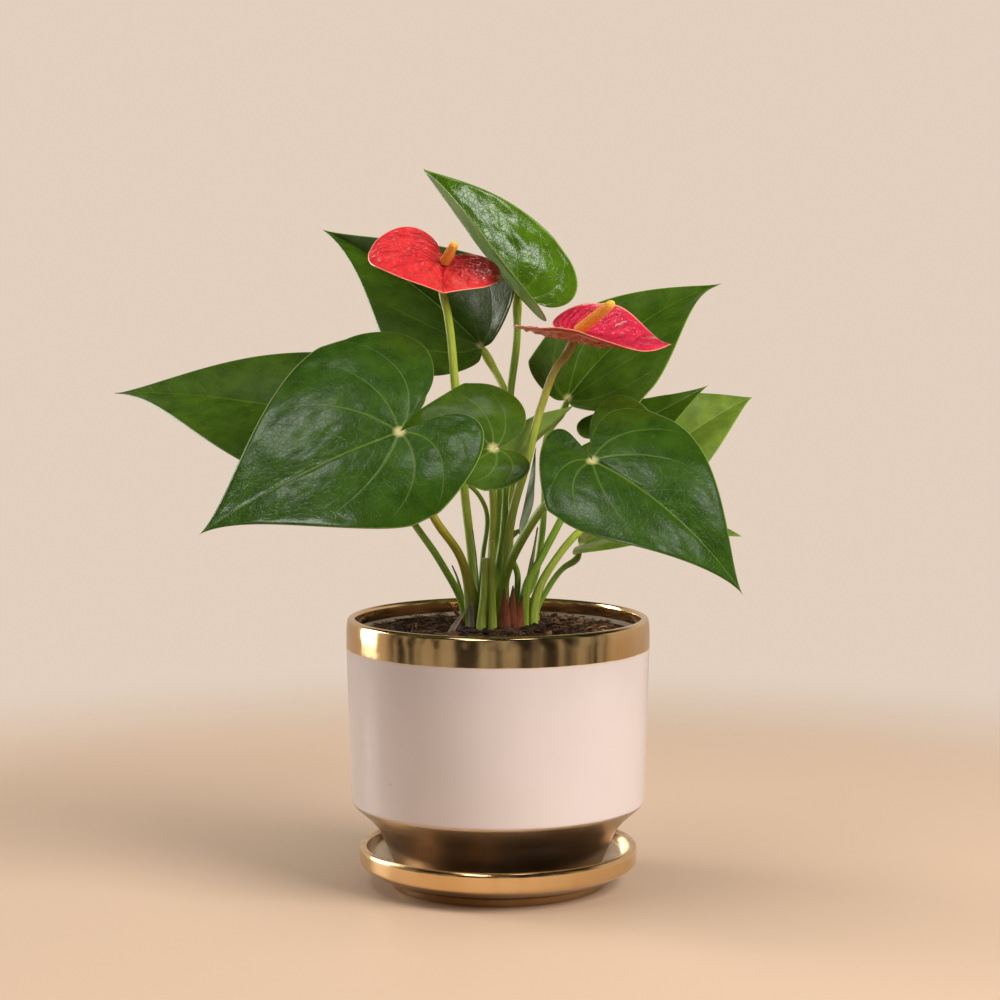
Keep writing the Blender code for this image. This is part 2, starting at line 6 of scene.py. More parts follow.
import bpy
import numpy as np
from bpy.props import FloatProperty, FloatVectorProperty, IntProperty, PointerProperty
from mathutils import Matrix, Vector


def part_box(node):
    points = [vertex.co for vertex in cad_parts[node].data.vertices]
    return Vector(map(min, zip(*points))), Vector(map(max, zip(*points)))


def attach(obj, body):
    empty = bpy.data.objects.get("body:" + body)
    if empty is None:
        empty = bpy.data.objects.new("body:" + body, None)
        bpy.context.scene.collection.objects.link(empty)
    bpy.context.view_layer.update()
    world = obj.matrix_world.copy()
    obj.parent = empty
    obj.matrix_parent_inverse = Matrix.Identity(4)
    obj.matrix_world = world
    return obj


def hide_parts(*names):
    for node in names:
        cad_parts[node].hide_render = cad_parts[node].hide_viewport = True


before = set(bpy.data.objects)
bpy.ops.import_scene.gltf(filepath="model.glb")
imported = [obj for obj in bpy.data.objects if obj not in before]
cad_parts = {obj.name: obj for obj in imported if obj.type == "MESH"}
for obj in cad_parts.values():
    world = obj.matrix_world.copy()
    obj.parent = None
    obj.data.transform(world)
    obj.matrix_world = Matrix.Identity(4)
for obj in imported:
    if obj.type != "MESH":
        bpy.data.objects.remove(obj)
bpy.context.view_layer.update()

bl_info = {
    "name": "Potted anthurium",
    "version": (1, 0, 0),
    "blender": (4, 5, 0),
    "location": "3D view > Sidebar > Anthurium",
    "description": "Builds a red anthurium in a glazed pot on its saucer",
    "category": "Add Mesh",
}

MM = 0.001

PETIOLE_FOOT_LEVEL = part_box("crown")[1].z / MM + 0.3
SOIL_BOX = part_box("soil")
POT_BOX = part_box("pot")
SAUCER_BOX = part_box("saucer")
CROWN_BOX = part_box("crown")

WAVE = 0.7  # height of the waves along a blade's margin
WIDEST = 0.12  # where a blade is widest, as a share of its length
CURL = 22.0  # how far each half of a leaf turns down from midrib to margin
APPROACH = 5.0  # how far under its blade a petiole turns to meet it
SIDE_VEIN_STEP = 9.0  # distance along the midrib from one side vein to the next
FAN_STEP = 52.0  # angle from one vein of the fan to the next, at the petiole
SCRAMBLE = np.array([73856093, 19349663, 83492791, 2654435, 1274126177])  # large factors for the noise
# Half of a lobe's outline, from the notch to the widest point: shares of the half width and the length
LOBE = ((0.07, -0.12), (0.17, -0.22), (0.36, -0.285), (0.6, -0.28), (0.82, -0.19), (0.96, -0.04), (1, WIDEST))

TOP_ROWS = 110  # rings of the soil's top
SOIL_FALL = 2.2  # how much lower the soil lies at the wall than round the crown
CROWN_ROWS = 60  # rings of the crown's top
BEAD_ROWS = 8  # spiral rows of beads that cross a spadix each way

# Soft panels that shiny faces mirror: sideways and ahead over height, reach, share lit
PANELS = ((-0.32, -0.27, 0.16, 0.5), (-0.47, -1.25, 0.34, 1), (0.26, -0.38, 0.15, 0.45))
PANEL_LIGHT = (9.0, 9.0, 8.8)
# Distances from the middle at which the floor has a ring of points
FLOOR_RINGS = (0.0, 30, 60, 90, 130, 200, 300, 450, 700, 1000, 1400, 2200, 3000)


def blade(at, turn, size, lobes, droop, fold, shape, curl=CURL, look="dark", pucker=1.0):
    """Sizes of one blade. at: x, y and height over PETIOLE_FOOT_LEVEL. turn: heading, pitch and roll.
    size: length, left and right half widths. lobes: left and right lobe lengths as a share of LOBE's.
    droop: of the tip and of the lobes. fold: of the left and right halves.
    shape: roundness, tip sharpness, sideways sweep of the tip and of the lobes.
    curl: how far each half turns down from midrib to margin. look: which finish it has.
    pucker: how much of the leaves' pucker height it has."""
    return dict(
        at=at, turn=turn, size=size, lobes=lobes, droop=droop, fold=fold, shape=shape, curl=curl,
        look=look, pucker=pucker,
    )


BLADES = {
    "leaf_1": blade(
        (-39.4, -45.3, 83.2), (198, -18, 52), (90, 40, 56.5), (1.2, 1.07), (20, -16), (-4, -10),
        (1.58, 1.5, -0.05, 0.28), look="dark",
    ),
    "leaf_2": blade(
        (-57.5, -1.3, 83), (158, 13, 33), (120, 47, 38), (0.6, 0.6), (15, 0), (6, 9),
        (1.74, 1.5, -0.05, 0), look="mid", pucker=0.6,
    ),
    "leaf_3": blade(
        (-7.2, 27.5, 114.6), (130, 34, 50), (105, 37.5, 34), (0.37, 0.2), (-6, 0), (32, 34),
        (1.3, 1.23, -0.17, -0.04), look="mid", pucker=0.7,
    ),
    "leaf_4": blade(
        (8, 13, 137.5), (157, 49, 59), (71, 29.5, 26.7), (0.93, 0.82), (12, 0), (84, 8),
        (1.8, 1.13, 0.05, 0.13), look="bright", pucker=1.6,
    ),
    "leaf_5": blade(
        (30, 36.4, 91.8), (42, 45, -36), (100, 26, 40), (0.2, 0.2), (22, 1), (40, 31),
        (1.58, 1.32, 0.22, 0), look="mid", pucker=0.7,
    ),
    "leaf_6": blade(
        (42, 25.2, 75.5), (10, 19, -40), (54, 13, 24), (0.4, 1.1), (-8, 3), (11, 10),
        (1.63, 1.35, -0.07, -0.03), look="mid",
    ),
    "leaf_7": blade(
        (61, 38, 59), (20, 39, -40), (66.5, 28.5, 23.5), (0.5, 0.5), (23, 0), (15, 15),
        (1.89, 1.27, 0.02, 0), look="pale",
    ),
    "leaf_8": blade(
        (37.9, -43.8, 71.2), (-38, -18, -29), (85, 37, 30.7), (0.73, 1.04), (36, -3), (6, -13),
        (1.77, 1.5, 0.08, -0.68), look="dark", pucker=0.8,
    ),
    "leaf_9": blade(
        (-2, -20.3, 74.5), (195, -1, 53), (57, 20, 32), (0.83, 0.97), (4, -2), (1, 2),
        (1.2, 1.33, 0.12, 0.05), look="mid", pucker=0.7,
    ),
    "leaf_10": blade(
        (5.6, 0.5, 70), (12, 40, 50), (34, 10, 11), (0.25, 0.25), (5, 0), (20, 20),
        (1.7, 1.2, 0, 0), look="pale",
    ),
    "leaf_11": blade(
        (8.8, 1, 38.5), (180, 104, 0), (36, 9, 9), (0.15, 0.15), (5, 0), (18, 18),
        (1.8, 1.2, 0, 0), look="dark",
    ),
    "leaf_12": blade(
        (34.4, 14.4, 31), (-15, 16.5, -14), (70, 22, 14), (0.06, 0.06), (24, -1), (5, 0),
        (2, 0.95, 0.02, 0), look="pale",
    ),
}
SPATHES = {
    "flower_1": blade(
        (-22.7, 5, 149.6), (-98, -42, 29), (24.5, 25, 31.5), (1, 2.05), (-30, 18), (20, -12),
        (2.1, 0.7, 0, 0), look="coral",
    ),
    "flower_2": blade(
        (33.2, 0, 120.8), (-16, -8.5, -19), (40, 22, 23.5), (1.15, 2.15), (-6, 23), (21, 27),
        (1.97, 1.02, 0, 0.06), curl=-92, look="crimson",
    ),
}
# Spadix: length, radius at the foot and at the tip, lean towards the spathe's tip, look
SPADICES = {
    "flower_1": (10.6, 2.3, 1.7, -0.1, "orange"),
    "flower_2": (20.5, 2.5, 1.9, 0.95, "yellow"),
}
# Stems: foot on the crown, points passed on the way up, radii below and above, look
PETIOLES = {
    "leaf_1": ((-10.5, -9), ((-15, -14, 28), (-26, -28, 47)), 1.9, 1.6, "red"),
    "leaf_2": ((-14, -3), ((-24, -3, 26), (-35, -2, 42), (-49, 0, 64)), 1.6, 1.3, "green"),
    "leaf_3": ((-4, 8), ((-1, 10, 35), (1, 13, 60), (4, 20, 92)), 1.7, 1.5, "lime"),
    "leaf_4": ((-3, 1.5), ((2, 5, 34), (4, 9, 67), (5, 11, 94), (8, 13, 120)), 1.8, 1.5, "green"),
    "leaf_5": ((9, 9), ((15, 12, 16), (18.5, 18, 34), (20, 28, 58), (21, 35, 76)), 1.5, 1.2, "green"),
    "leaf_6": ((10.5, -8), ((12, -5, 16), (18, 2, 27), (26, 12, 41)), 1.7, 1.4, "green"),
    "leaf_7": ((14.5, -2), ((17, 0, 14), (24, 3, 26), (34, 9, 37), (51, 24, 43)), 1.7, 1.4, "lime"),
    "leaf_8": ((0, -10), ((4, -17, 24), (11, -28, 40), (20, -38, 54)), 1.9, 1.7, "green"),
    "leaf_9": ((-3.5, -4.5), ((-3, -6, 27), (-2, -8, 44)), 1.6, 1.4, "lime"),
    "leaf_10": ((2.5, 1.5), ((5.4, 3.2, 34), (5.6, 2.2, 55)), 1.2, 1.0, "lime"),
    "leaf_11": ((7, -3), ((8.2, -1, 20),), 1.4, 1.1, "green"),
    "leaf_12": ((16, 4.5), ((20.5, 7.5, 12.5), (27.5, 11.5, 21.5)), 1.3, 1.1, "green"),
}
STALKS = {
    "flower_1": (
        (-10, 3),
        ((-11, 3, 26), (-14, 3, 54), (-16.5, 3, 81), (-18, 3, 100), (-20.5, 4, 126)),
        1.9, 1.7, "lime",
    ),
    "flower_2": (
        (2, -5.5),
        ((3, -8, 24), (6.5, -9, 49), (11.5, -8, 66), (18, -5, 91), (25.5, -2.2, 109)),
        1.9, 1.6, "amber",
    ),
}
# How much a petiole's sheathing base widens it
FLARES = {"leaf_1": 0.75, "leaf_8": 0.3, "leaf_6": 0.3, "leaf_7": 0.2}
BARE_STEMS = {
    "cut_stub_1": ((-2.3, -15.2), ((-2.4, -15.2, 20), (-2.5, -14.8, 37.5)), 1.6, 1.3, "lime"),
    "cut_stub_2": ((-6.8, -14), ((-5.8, -15, 15), (-5.2, -15.5, 30)), 1.8, 1.4, "lime"),
    "arching_stem": (
        (-8.5, 8.5), ((-6.5, 13, 25), (-5.6, 12, 48), (-9, 10, 54), (-14, 8, 58.5)), 1.1, 0.9, "green",
    ),
}
# Sheaths: foot, facing, lean at the foot and tip, length, width, arc, look
SHEATHS = {
    "cataphyll_1": ((2.6, -16), -95, (-4, 6), 16, 5.4, 100, "papery"),
    "cataphyll_2": ((6.2, -15), -80, (-6, 4), 17, 5.6, 100, "papery"),
    "cataphyll_3": ((9.6, -13.9), -60, (-8, 16), 13, 5.2, 100, "papery"),
    "dry_sheath": ((-19.5, -18.5), 42, (38, 50), 13, 4, 70, "dry"),
    "red_scale": ((-15.4, -8), 215, (20, 48), 12, 4.4, 90, "papery"),
    "dark_scale": ((-11.6, -13.2), 235, (-8, 6), 12, 4, 90, "dry"),
    "sheath_left": ((-14.6, 3), 190, (0, 22), 24, 5.6, 110, "green"),
    "sheath_green": ((4, 9.8), 60, (-4, 4), 42, 4.4, 130, "green"),
    "sheath_pale": ((10.8, 2.2), 20, (10, 8), 40, 6.5, 110, "blush"),
    "sheath_slender": ((-9.4, -2.6), 200, (-4, 8), 39, 3.6, 120, "green"),
}


# Sizes and colours


def length(name, description, default):
    return FloatProperty(
        name=name, description=description, default=default, min=0, max=0.2, unit="LENGTH", precision=4
    )


def share(name, description, default, high=1.0):
    return FloatProperty(
        name=name, description=description, default=default, min=0, max=high, subtype="FACTOR"
    )


def colour(name, description, default):
    return FloatVectorProperty(
        name=name, description=description, default=default, size=3, min=0, max=1, subtype="COLOR"
    )


class PotSettings(bpy.types.PropertyGroup):
    lip: length("Lip", "Width of the pot's rounded lip", 0.0042)
    wall: length("Wall", "Thickness of the pot's wall", 0.004)
    band: length("Band", "Height of the metallic band under the rim", 0.0124)
    inner_band: length("Inner band", "Depth of the metallic band inside the rim", 0.0058)
    taper: length("Taper", "How much the body narrows downwards", 0.0018)
    saucer_band: length("Saucer band", "Height of the saucer's upright band", 0.0086)
    white: colour("White glaze", "Colour of the pot's body", (0.6, 0.525, 0.505))
    cream: colour("Inner glaze", "Colour of the wall inside, under the band", (0.62, 0.53, 0.42))
    gold: colour("Gold", "Colour of the metallic glaze", (0.79, 0.57, 0.29))
    bronze: colour("Bronze", "Colour of the pot's foot", (0.58, 0.49, 0.37))


class SoilSettings(bpy.types.PropertyGroup):
    lumps: length("Lumps", "Height of the soil's crumbs", 0.0015)
    fibres: IntProperty(name="Fibres", description="Loose coir fibres", default=620, min=0, max=2000)
    chips: IntProperty(name="Chips", description="Bits of bark", default=420, min=0, max=2000)
    dark: colour("Wet soil", "Colour between the crumbs", (0.014, 0.009, 0.007))
    brown: colour("Dry soil", "Colour of the crumbs' tops", (0.09, 0.045, 0.027))


class LeafSettings(bpy.types.PropertyGroup):
    thickness: length("Thickness", "Thickness of a leaf blade", 0.0005)
    groove: length("Vein groove", "Depth of the veins on the upper face", 0.0003)
    quilting: length("Quilting", "Height of the swellings between veins", 0.00017)
    pucker: length("Pucker", "Height of the fine puckers", 0.00015)
    dark: colour("Dark leaf", "Upper face of the oldest leaves", (0.02, 0.054, 0.003))
    mid: colour("Green leaf", "Upper face of most leaves", (0.032, 0.072, 0.003))
    bright: colour("Bright leaf", "Upper face of young leaves", (0.055, 0.125, 0.004))
    pale: colour("Pale leaf", "Upper face of the palest leaves", (0.1, 0.165, 0.014))
    vein: colour("Veins", "Colour of the veins", (0.17, 0.27, 0.04))
    under: colour("Underside", "Colour of the underside", (0.13, 0.2, 0.06))


class FlowerSettings(bpy.types.PropertyGroup):
    thickness: length("Thickness", "Thickness of a spathe", 0.0007)
    blister: length("Blisters", "Height of a spathe's blisters", 0.0006)
    bead: length("Beads", "Height of the beads on a spadix", 0.0002)
    coral: colour("Coral", "The front flower's colour", (0.57, 0.02, 0.026))
    crimson: colour("Crimson", "The right flower's colour", (0.52, 0.014, 0.045))
    rim: colour("Rim", "Colour of a spathe's edge", (0.85, 0.32, 0.2))
    spadix: colour("Spadix", "Colour of the beads", (0.9, 0.4, 0.05))


class StemSettings(bpy.types.PropertyGroup):
    swelling: share("Swelling", "How much a petiole thickens where it meets its blade", 0.28)
    ribs: share("Ribs", "Depth of the ribs along a stem, as a share of its radius", 0.035, 0.2)
    green: colour("Green stem", "Colour of most stems", (0.2, 0.33, 0.025))
    lime: colour("Lime stem", "Colour of young stems", (0.4, 0.5, 0.06))
    red: colour("Red stem", "Colour of a reddened stem", (0.27, 0.11, 0.04))
    amber: colour("Amber stem", "Colour of the right stalk's top", (0.4, 0.25, 0.05))
    papery: colour("Papery", "Colour of the cataphylls", (0.27, 0.075, 0.035))
    dry: colour("Dry", "Colour of the dead sheaths", (0.2, 0.15, 0.1))


class StageSettings(bpy.types.PropertyGroup):
    floor: colour("Floor", "Colour of the floor", (0.52, 0.38, 0.27))
    backdrop: colour("Backdrop", "Colour behind the plant", (0.765, 0.63, 0.52))
    fill: FloatProperty(name="Fill", description="Strength of the soft light all round", default=0.28, min=0)
    window: FloatProperty(
        name="Window", description="Power of the tall light at the left", default=13, min=0, unit="POWER"
    )
    key: FloatProperty(
        name="Key", description="Power of the large light at the right", default=32, min=0, unit="POWER"
    )


GROUPS = {
    "anthurium_pot": PotSettings,
    "anthurium_soil": SoilSettings,
    "anthurium_leaf": LeafSettings,
    "anthurium_flower": FlowerSettings,
    "anthurium_stem": StemSettings,
    "anthurium_stage": StageSettings,
}


# Shapes


def unit(vectors):
    return vectors / np.linalg.norm(vectors, axis=-1, keepdims=True)


def ease(value, low, high):
    """0 below low, 1 above high, and a cubic S between."""
    t = np.clip((value - low) / (high - low), 0, 1)
    return t * t * (3 - 2 * t)


def run_along(points):
    """Length of the path from its start to each of its points."""
    return np.concatenate([[0], np.cumsum(np.linalg.norm(np.diff(points, axis=0), axis=1))])


def curve_through(points, count):
    """A smooth curve through the points, as count points evenly spaced along it: cubic Hermite pieces
    whose slopes are central differences over the chord length."""
    points = np.asarray(points, float)
    steps = np.linalg.norm(np.diff(points, axis=0), axis=1)
    knots = run_along(points)
    slopes = np.gradient(points, knots, axis=0)
    at = np.linspace(0, knots[-1], count)
    start = np.clip(np.searchsorted(knots, at, side="right") - 1, 0, len(steps) - 1)
    step = steps[start][:, None]
    t = (at - knots[start])[:, None] / step
    rise = points[start + 1] - points[start]
    bend = (slopes[start] * step - rise) * (1 - t) - (slopes[start + 1] * step - rise) * t
    return points[start] + rise * t + t * (1 - t) * bend


def lattice_noise(points, cell, seed):
    """Smooth noise from -1 to 1: a hashed value at each corner of a cubic lattice of the given cell,
    blended across the cell by a cubic ease."""
    place = np.asarray(points, float) / cell
    corner = np.floor(place).astype(np.int64)
    near = place - corner
    near = near * near * (3 - 2 * near)
    total = np.zeros(place.shape[:-1])
    for offset in np.ndindex(*(2,) * place.shape[-1]):
        key = (corner + offset) * SCRAMBLE[: place.shape[-1]]
        key = np.bitwise_xor.reduce(key, axis=-1) + seed * SCRAMBLE[3]
        key = ((key ^ (key >> 13)) * SCRAMBLE[4]) & 0x7FFFFFFF
        value = ((key ^ (key >> 16)) & 0xFFFF) / 32767.5 - 1
        total += value * np.prod(np.where(offset, near, 1 - near), axis=-1)
    return total


def grid_faces(index, around=False):
    """Quads between neighbouring rows and columns of a grid of point numbers."""
    if around:
        index = np.concatenate([index, index[:, :1]], axis=1)
    corners = [index[:-1, :-1], index[1:, :-1], index[1:, 1:], index[:-1, 1:]]
    return np.stack([corner.ravel() for corner in corners], axis=1)


def used_points(points, quads, values=None):
    """The points that a quad uses, the quads renumbered to them, and their share of the values."""
    used = np.unique(quads)
    renumber = np.zeros(used[-1] + 1, int)
    renumber[used] = np.arange(len(used))
    return points[used], renumber[quads], {key: numbers[used] for key, numbers in (values or {}).items()}


def add_piece(name, points, quads, look, stands_for=(), values=None, smooth=True):
    """A mesh object from points in millimetres and quads. A quad with two equal corners in a row becomes a
    triangle. values holds named numbers or vectors for each point."""
    triangles = []
    for corner in range(4):
        same = quads[:, corner] == quads[:, (corner + 1) % 4]
        triangles.append(np.delete(quads[same], (corner + 1) % 4, axis=1))
        quads = quads[~same]
    triangles = np.concatenate(triangles)
    corners = np.concatenate([quads.ravel(), triangles.ravel()]).astype(np.int32)
    starts = np.concatenate([np.arange(len(quads)) * 4, len(quads) * 4 + np.arange(len(triangles)) * 3])
    mesh = bpy.data.meshes.new(name)
    mesh.vertices.add(len(points))
    mesh.vertices.foreach_set("co", (np.asarray(points) * MM).astype(np.float32).ravel())
    mesh.loops.add(len(corners))
    mesh.loops.foreach_set("vertex_index", corners)
    mesh.polygons.add(len(starts))
    mesh.polygons.foreach_set("loop_start", starts.astype(np.int32))
    for key, numbers in (values or {}).items():
        numbers = np.asarray(numbers, np.float32)
        kind, field = ("FLOAT", "value") if numbers.ndim == 1 else ("FLOAT_VECTOR", "vector")
        mesh.attributes.new(key, kind, "POINT").data.foreach_set(field, numbers.ravel())
    mesh.update(calc_edges=True)
    mesh.validate()
    if smooth:
        mesh.shade_smooth()
    mesh.materials.append(look)
    made = bpy.data.objects.new(name, mesh)
    bpy.context.scene.collection.objects.link(made)
    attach(made, "root")
    if stands_for:
        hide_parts(*stands_for)
    return made


def on_plant(point):
    """A point given as x, y and height above the crown, in millimetres in the world."""
    return np.array([point[0], point[1], PETIOLE_FOOT_LEVEL + point[2]], float)


def blade_axes(sizes):
    """Across, along and upper-face directions of a blade at its petiole."""
    heading, pitch, roll = np.radians(sizes["turn"])
    along = np.array([np.cos(pitch) * np.cos(heading), np.cos(pitch) * np.sin(heading), np.sin(pitch)])
    level = np.array([np.sin(heading), -np.cos(heading), 0])
    upright = np.cross(level, along)
    across = np.cos(roll) * level + np.sin(roll) * upright
    return across, along, np.cross(across, along)


def half_outline(sizes, side, steps):
    """One half of the flat outline, from the notch round the lobe to the tip. The lobe is a smooth curve
    through LOBE; beyond the widest point the half width falls as (1 - share^roundness)^sharpness."""
    long, left, right = sizes["size"]
    half_width = right if side > 0 else left
    lobe_length = sizes["lobes"][1 if side > 0 else 0]
    roundness, sharpness, _, lean = sizes["shape"]
    lobe = curve_through(LOBE, steps // 2)
    rest = 1 - (1 - np.linspace(0, 1, steps - steps // 2 + 1)[1:]) ** 1.3
    x = np.concatenate([lobe[:, 0], (1 - rest**roundness) ** sharpness]) * half_width * side
    y = np.concatenate([lobe[:, 1], WIDEST + (1 - WIDEST) * rest]) * long
    behind = np.minimum(y, 0) * lobe_length
    return np.stack([x - behind * lean, np.where(y < 0, behind, y)], axis=1)


def bent(sizes, flat):
    """Flat blade points (x across, y along) folded at the midrib, curled, waved, drooped on a circular arc
    and put in place, in millimetres."""
    long, left, right = sizes["size"]
    x, y = flat[..., 0], flat[..., 1]
    share_out = np.abs(x) / np.where(x > 0, right, left)
    fold_left, fold_right = np.radians(sizes["fold"])
    fold = fold_left + (fold_right - fold_left) * ease(x, -1.5, 1.5)
    middle = fold + np.radians(sizes["curl"]) * (0.5 - 0.5 * share_out)
    soft = np.sqrt(x * x + 0.6) - np.sqrt(0.6)
    sideways = x * np.cos(middle)
    upwards = soft * np.sin(middle) + WAVE * share_out**2 * np.sin(9 * y / long + 2 * np.sign(x))
    bend = np.radians(np.where(y > 0, -sizes["droop"][0], sizes["droop"][1])) / long
    bend = np.where(np.abs(bend) < 1e-6, 1e-6, bend)
    forward = np.sin(bend * y) / bend - upwards * np.sin(bend * y)
    rise = (1 - np.cos(bend * y)) / bend + upwards * np.cos(bend * y)
    sideways = sideways + sizes["shape"][2] * long * np.maximum(y / long, 0) ** 2
    across, along, upper = blade_axes(sizes)
    local = sideways[..., None] * across + forward[..., None] * along + rise[..., None] * upper
    return on_plant(sizes["at"]) + local


def blade_normals(sizes, flat):
    """Upper-face normals, from small steps across and along the flat blade."""
    step = 0.05
    across = bent(sizes, flat + [step, 0]) - bent(sizes, flat - [step, 0])
    along = bent(sizes, flat + [0, step]) - bent(sizes, flat - [0, step])
    return unit(np.cross(across, along))


def vein_fields(sizes, flat, out):
    """Smooth numbers whose whole values lie on veins. fan: the angle from the midrib, opened towards the
    margin so that the veins bend to the tip, in steps of FAN_STEP degrees. side: millimetres along the midrib
    less the rise of a side vein, which grows with the distance out and its square."""
    long, left, right = sizes["size"]
    x, y = flat[..., 0], flat[..., 1]
    wide = np.abs(x) / np.where(x > 0, right, left)
    angle = np.arctan2(0.47 * wide, y / long)
    fan = angle / np.radians(FAN_STEP) / (1 - 0.45 * out**1.2)
    side = y - (0.35 * wide + 0.5 * wide**2) * long
    return fan, side


def blade_sheet(name, sizes, thickness, relief, rings, steps, look, node):
    """A blade as a closed double skin. Rings run from the petiole, which is a pole, out to the outline,
    where the skins meet; relief(flat, out, fan, side, margin) lifts the upper skin along its normal."""
    left = half_outline(sizes, -1, steps)
    outline = np.concatenate([half_outline(sizes, 1, steps), left[-2::-1]])
    out = (np.linspace(0, 1, rings + 1) ** 0.9)[:, None] * np.ones(len(outline))
    flat = out[..., None] * outline
    fan, side = vein_fields(sizes, flat, out)
    margin = (1 - out) * np.linalg.norm(outline, axis=1)
    notch = np.minimum(np.arange(len(outline)), np.arange(len(outline))[::-1])
    middle, normal = bent(sizes, flat), blade_normals(sizes, flat)
    lift = relief(flat, out, fan, side, margin) * ease(notch, -1, 3)
    taper = 0.12 + 0.88 * np.sqrt(np.clip(margin / 1.4, 0, 1))
    taper = taper * (0.5 + 0.5 * ease(notch, 0, 2))
    half = (0.5 * thickness * taper)[..., None]
    upper = middle + normal * (half + lift[..., None])
    rib = 0.45 * thickness * np.exp(-((flat[..., 0] / 0.9) ** 2)) * ease(flat[..., 1], 0, 4) * (1 - out**2)
    lower = middle - normal * (half + rib[..., None] - 0.7 * lift[..., None])
    lower[-1] = upper[-1] = middle[-1] + normal[-1] * lift[-1][..., None]
    count = rings * len(outline) + 1
    index = np.zeros(out.shape, int)
    index[1:] = 1 + np.arange(rings * len(outline)).reshape(rings, -1)
    below = index + count
    below[-1] = index[-1]
    quads = np.concatenate([
        grid_faces(index),
        grid_faces(below)[:, ::-1],
        grid_faces(np.stack([below[:, 0], index[:, 0]], axis=1)),
        grid_faces(np.stack([index[:, -1], below[:, -1]], axis=1)),
    ])
    flags = np.ones_like(fan)

    def both(first, second):
        return np.concatenate([first[:1, 0], first[1:].reshape(-1, *first.shape[2:]),
                               second[:1, 0], second[1:].reshape(-1, *second.shape[2:])])

    sheet = np.stack([flat[..., 0], flat[..., 1], margin], -1)
    values = {
        "sheet": both(sheet, sheet),
        "veins": both(np.stack([fan, side, flags], -1), np.stack([fan, side, 0 * flags], -1)),
    }
    points, quads, values = used_points(both(upper, lower), quads, values)
    add_piece(name, points, quads, look, (node,), values)


def leaf_relief(settings, sizes, seed):
    """Relief of a leaf: swellings between veins, as the absolute sine of the vein fields; a groove with a
    bell-shaped section on the midrib; and puckers of two sizes of noise."""
    groove, quilting, pucker = (value / MM for value in (settings.groove, settings.quilting, settings.pucker))
    long = sizes["size"][0]
    size_share = min(1.0, long / 80)

    def relief(flat, out, fan, side, margin):
        reach = np.hypot(flat[..., 0], flat[..., 1])
        inner = ease(reach, 2, 16) * ease(margin, 0, 7)
        between = np.abs(np.sin(np.pi * fan)) ** 0.7 * ease(fan, 0.9, 1.3)
        rows = np.abs(np.sin(np.pi * side / SIDE_VEIN_STEP)) ** 0.8 * (1 - ease(fan, 0.75, 1.15))
        bed = quilting * size_share * inner * (between + 0.2 * rows * ease(reach, 8, 20))
        midrib = groove * np.exp(-((flat[..., 0] / 1.1) ** 2)) * ease(flat[..., 1], 0, 3) * (1 - 0.7 * out)
        place = flat * [1.1, 0.6]
        small = 1.3 * lattice_noise(place, 5.6, seed) + 0.4 * lattice_noise(place, 2.4, seed + 1)
        large = lattice_noise(place, 17, seed + 2)
        puckers = pucker * sizes["pucker"] * (small * ease(margin, 0, 4) + 2.2 * large * ease(margin, 0, 9))
        return bed - midrib + puckers
    return relief


def spathe_relief(settings, seed):
    """Relief of a spathe: deep furrows fanning from its foot, and blisters of two sizes of noise."""
    blister = settings.blister / MM

    def relief(flat, out, fan, side, margin):
        reach = np.hypot(flat[..., 0], flat[..., 1])
        inner = ease(reach, 1, 9) * ease(margin, 0, 5)
        furrow = np.abs(np.sin(np.pi * fan * 2)) ** 0.7 * inner
        place = flat * [1.0, 0.85]
        cells = 1 - 2 * np.abs(lattice_noise(place, 3.4, seed))
        cells = cells + 0.5 * lattice_noise(place, 1.9, seed + 1)
        return blister * (1.7 * furrow + 0.75 * cells * ease(margin, 0, 3.5) * ease(reach, 0.5, 4))
    return relief


def frames_along(path, start, end):
    """Directions along a path and two square to it. The side direction is the world axis least in line
    with the path, made square to it at each point."""
    heading = np.gradient(path, axis=0)
    heading[0], heading[-1] = start, end
    heading = unit(heading)
    reference = np.eye(3)[np.argmin(np.abs(heading).max(axis=0))]
    side = unit(reference - (heading @ reference)[:, None] * heading)
    return heading, side, np.cross(heading, side)


def tube_grid(path, radii, start, end, sides):
    """Rings round a path: centre + radius * (cos side + sin other). radii is one number for each point of
    the path, or one for each point of the grid."""
    _, side, other = frames_along(path, start, end)
    angles = np.linspace(0, 2 * np.pi, sides, endpoint=False)
    radii = np.broadcast_to(np.atleast_2d(radii.T).T, (len(path), sides))[..., None]
    spokes = np.cos(angles)[:, None] * side[:, None] + np.sin(angles)[:, None] * other[:, None]
    return path[:, None] + radii * spokes


def closed_tube(grid):
    """Points and quads of a tube of rings, closed by a pole at each end."""
    rings, sides = grid.shape[:2]
    points = np.concatenate([grid.reshape(-1, 3), grid[:1].mean(axis=1), grid[-1:].mean(axis=1)])
    index = np.arange(rings * sides).reshape(rings, sides)
    first, last = np.full((1, sides), rings * sides), np.full((1, sides), rings * sides + 1)
    return points, grid_faces(np.concatenate([first, index, last]), around=True)[:, ::-1]


def stem_path(foot, passed, sizes, thickness):
    """Points a stem follows, up to the blade that sizes tells of, and the direction in which it ends."""
    points = [on_plant((*foot, -1)), on_plant((*foot, 3))] + [on_plant(point) for point in passed]
    normal = unit(points[-1] - points[-2])
    if sizes:
        normal = blade_axes(sizes)[2]
        end = on_plant(sizes["at"]) - (0.35 * thickness) * normal
        points += [end - APPROACH * unit(normal + unit(end - points[-1])), end]
    return points, normal


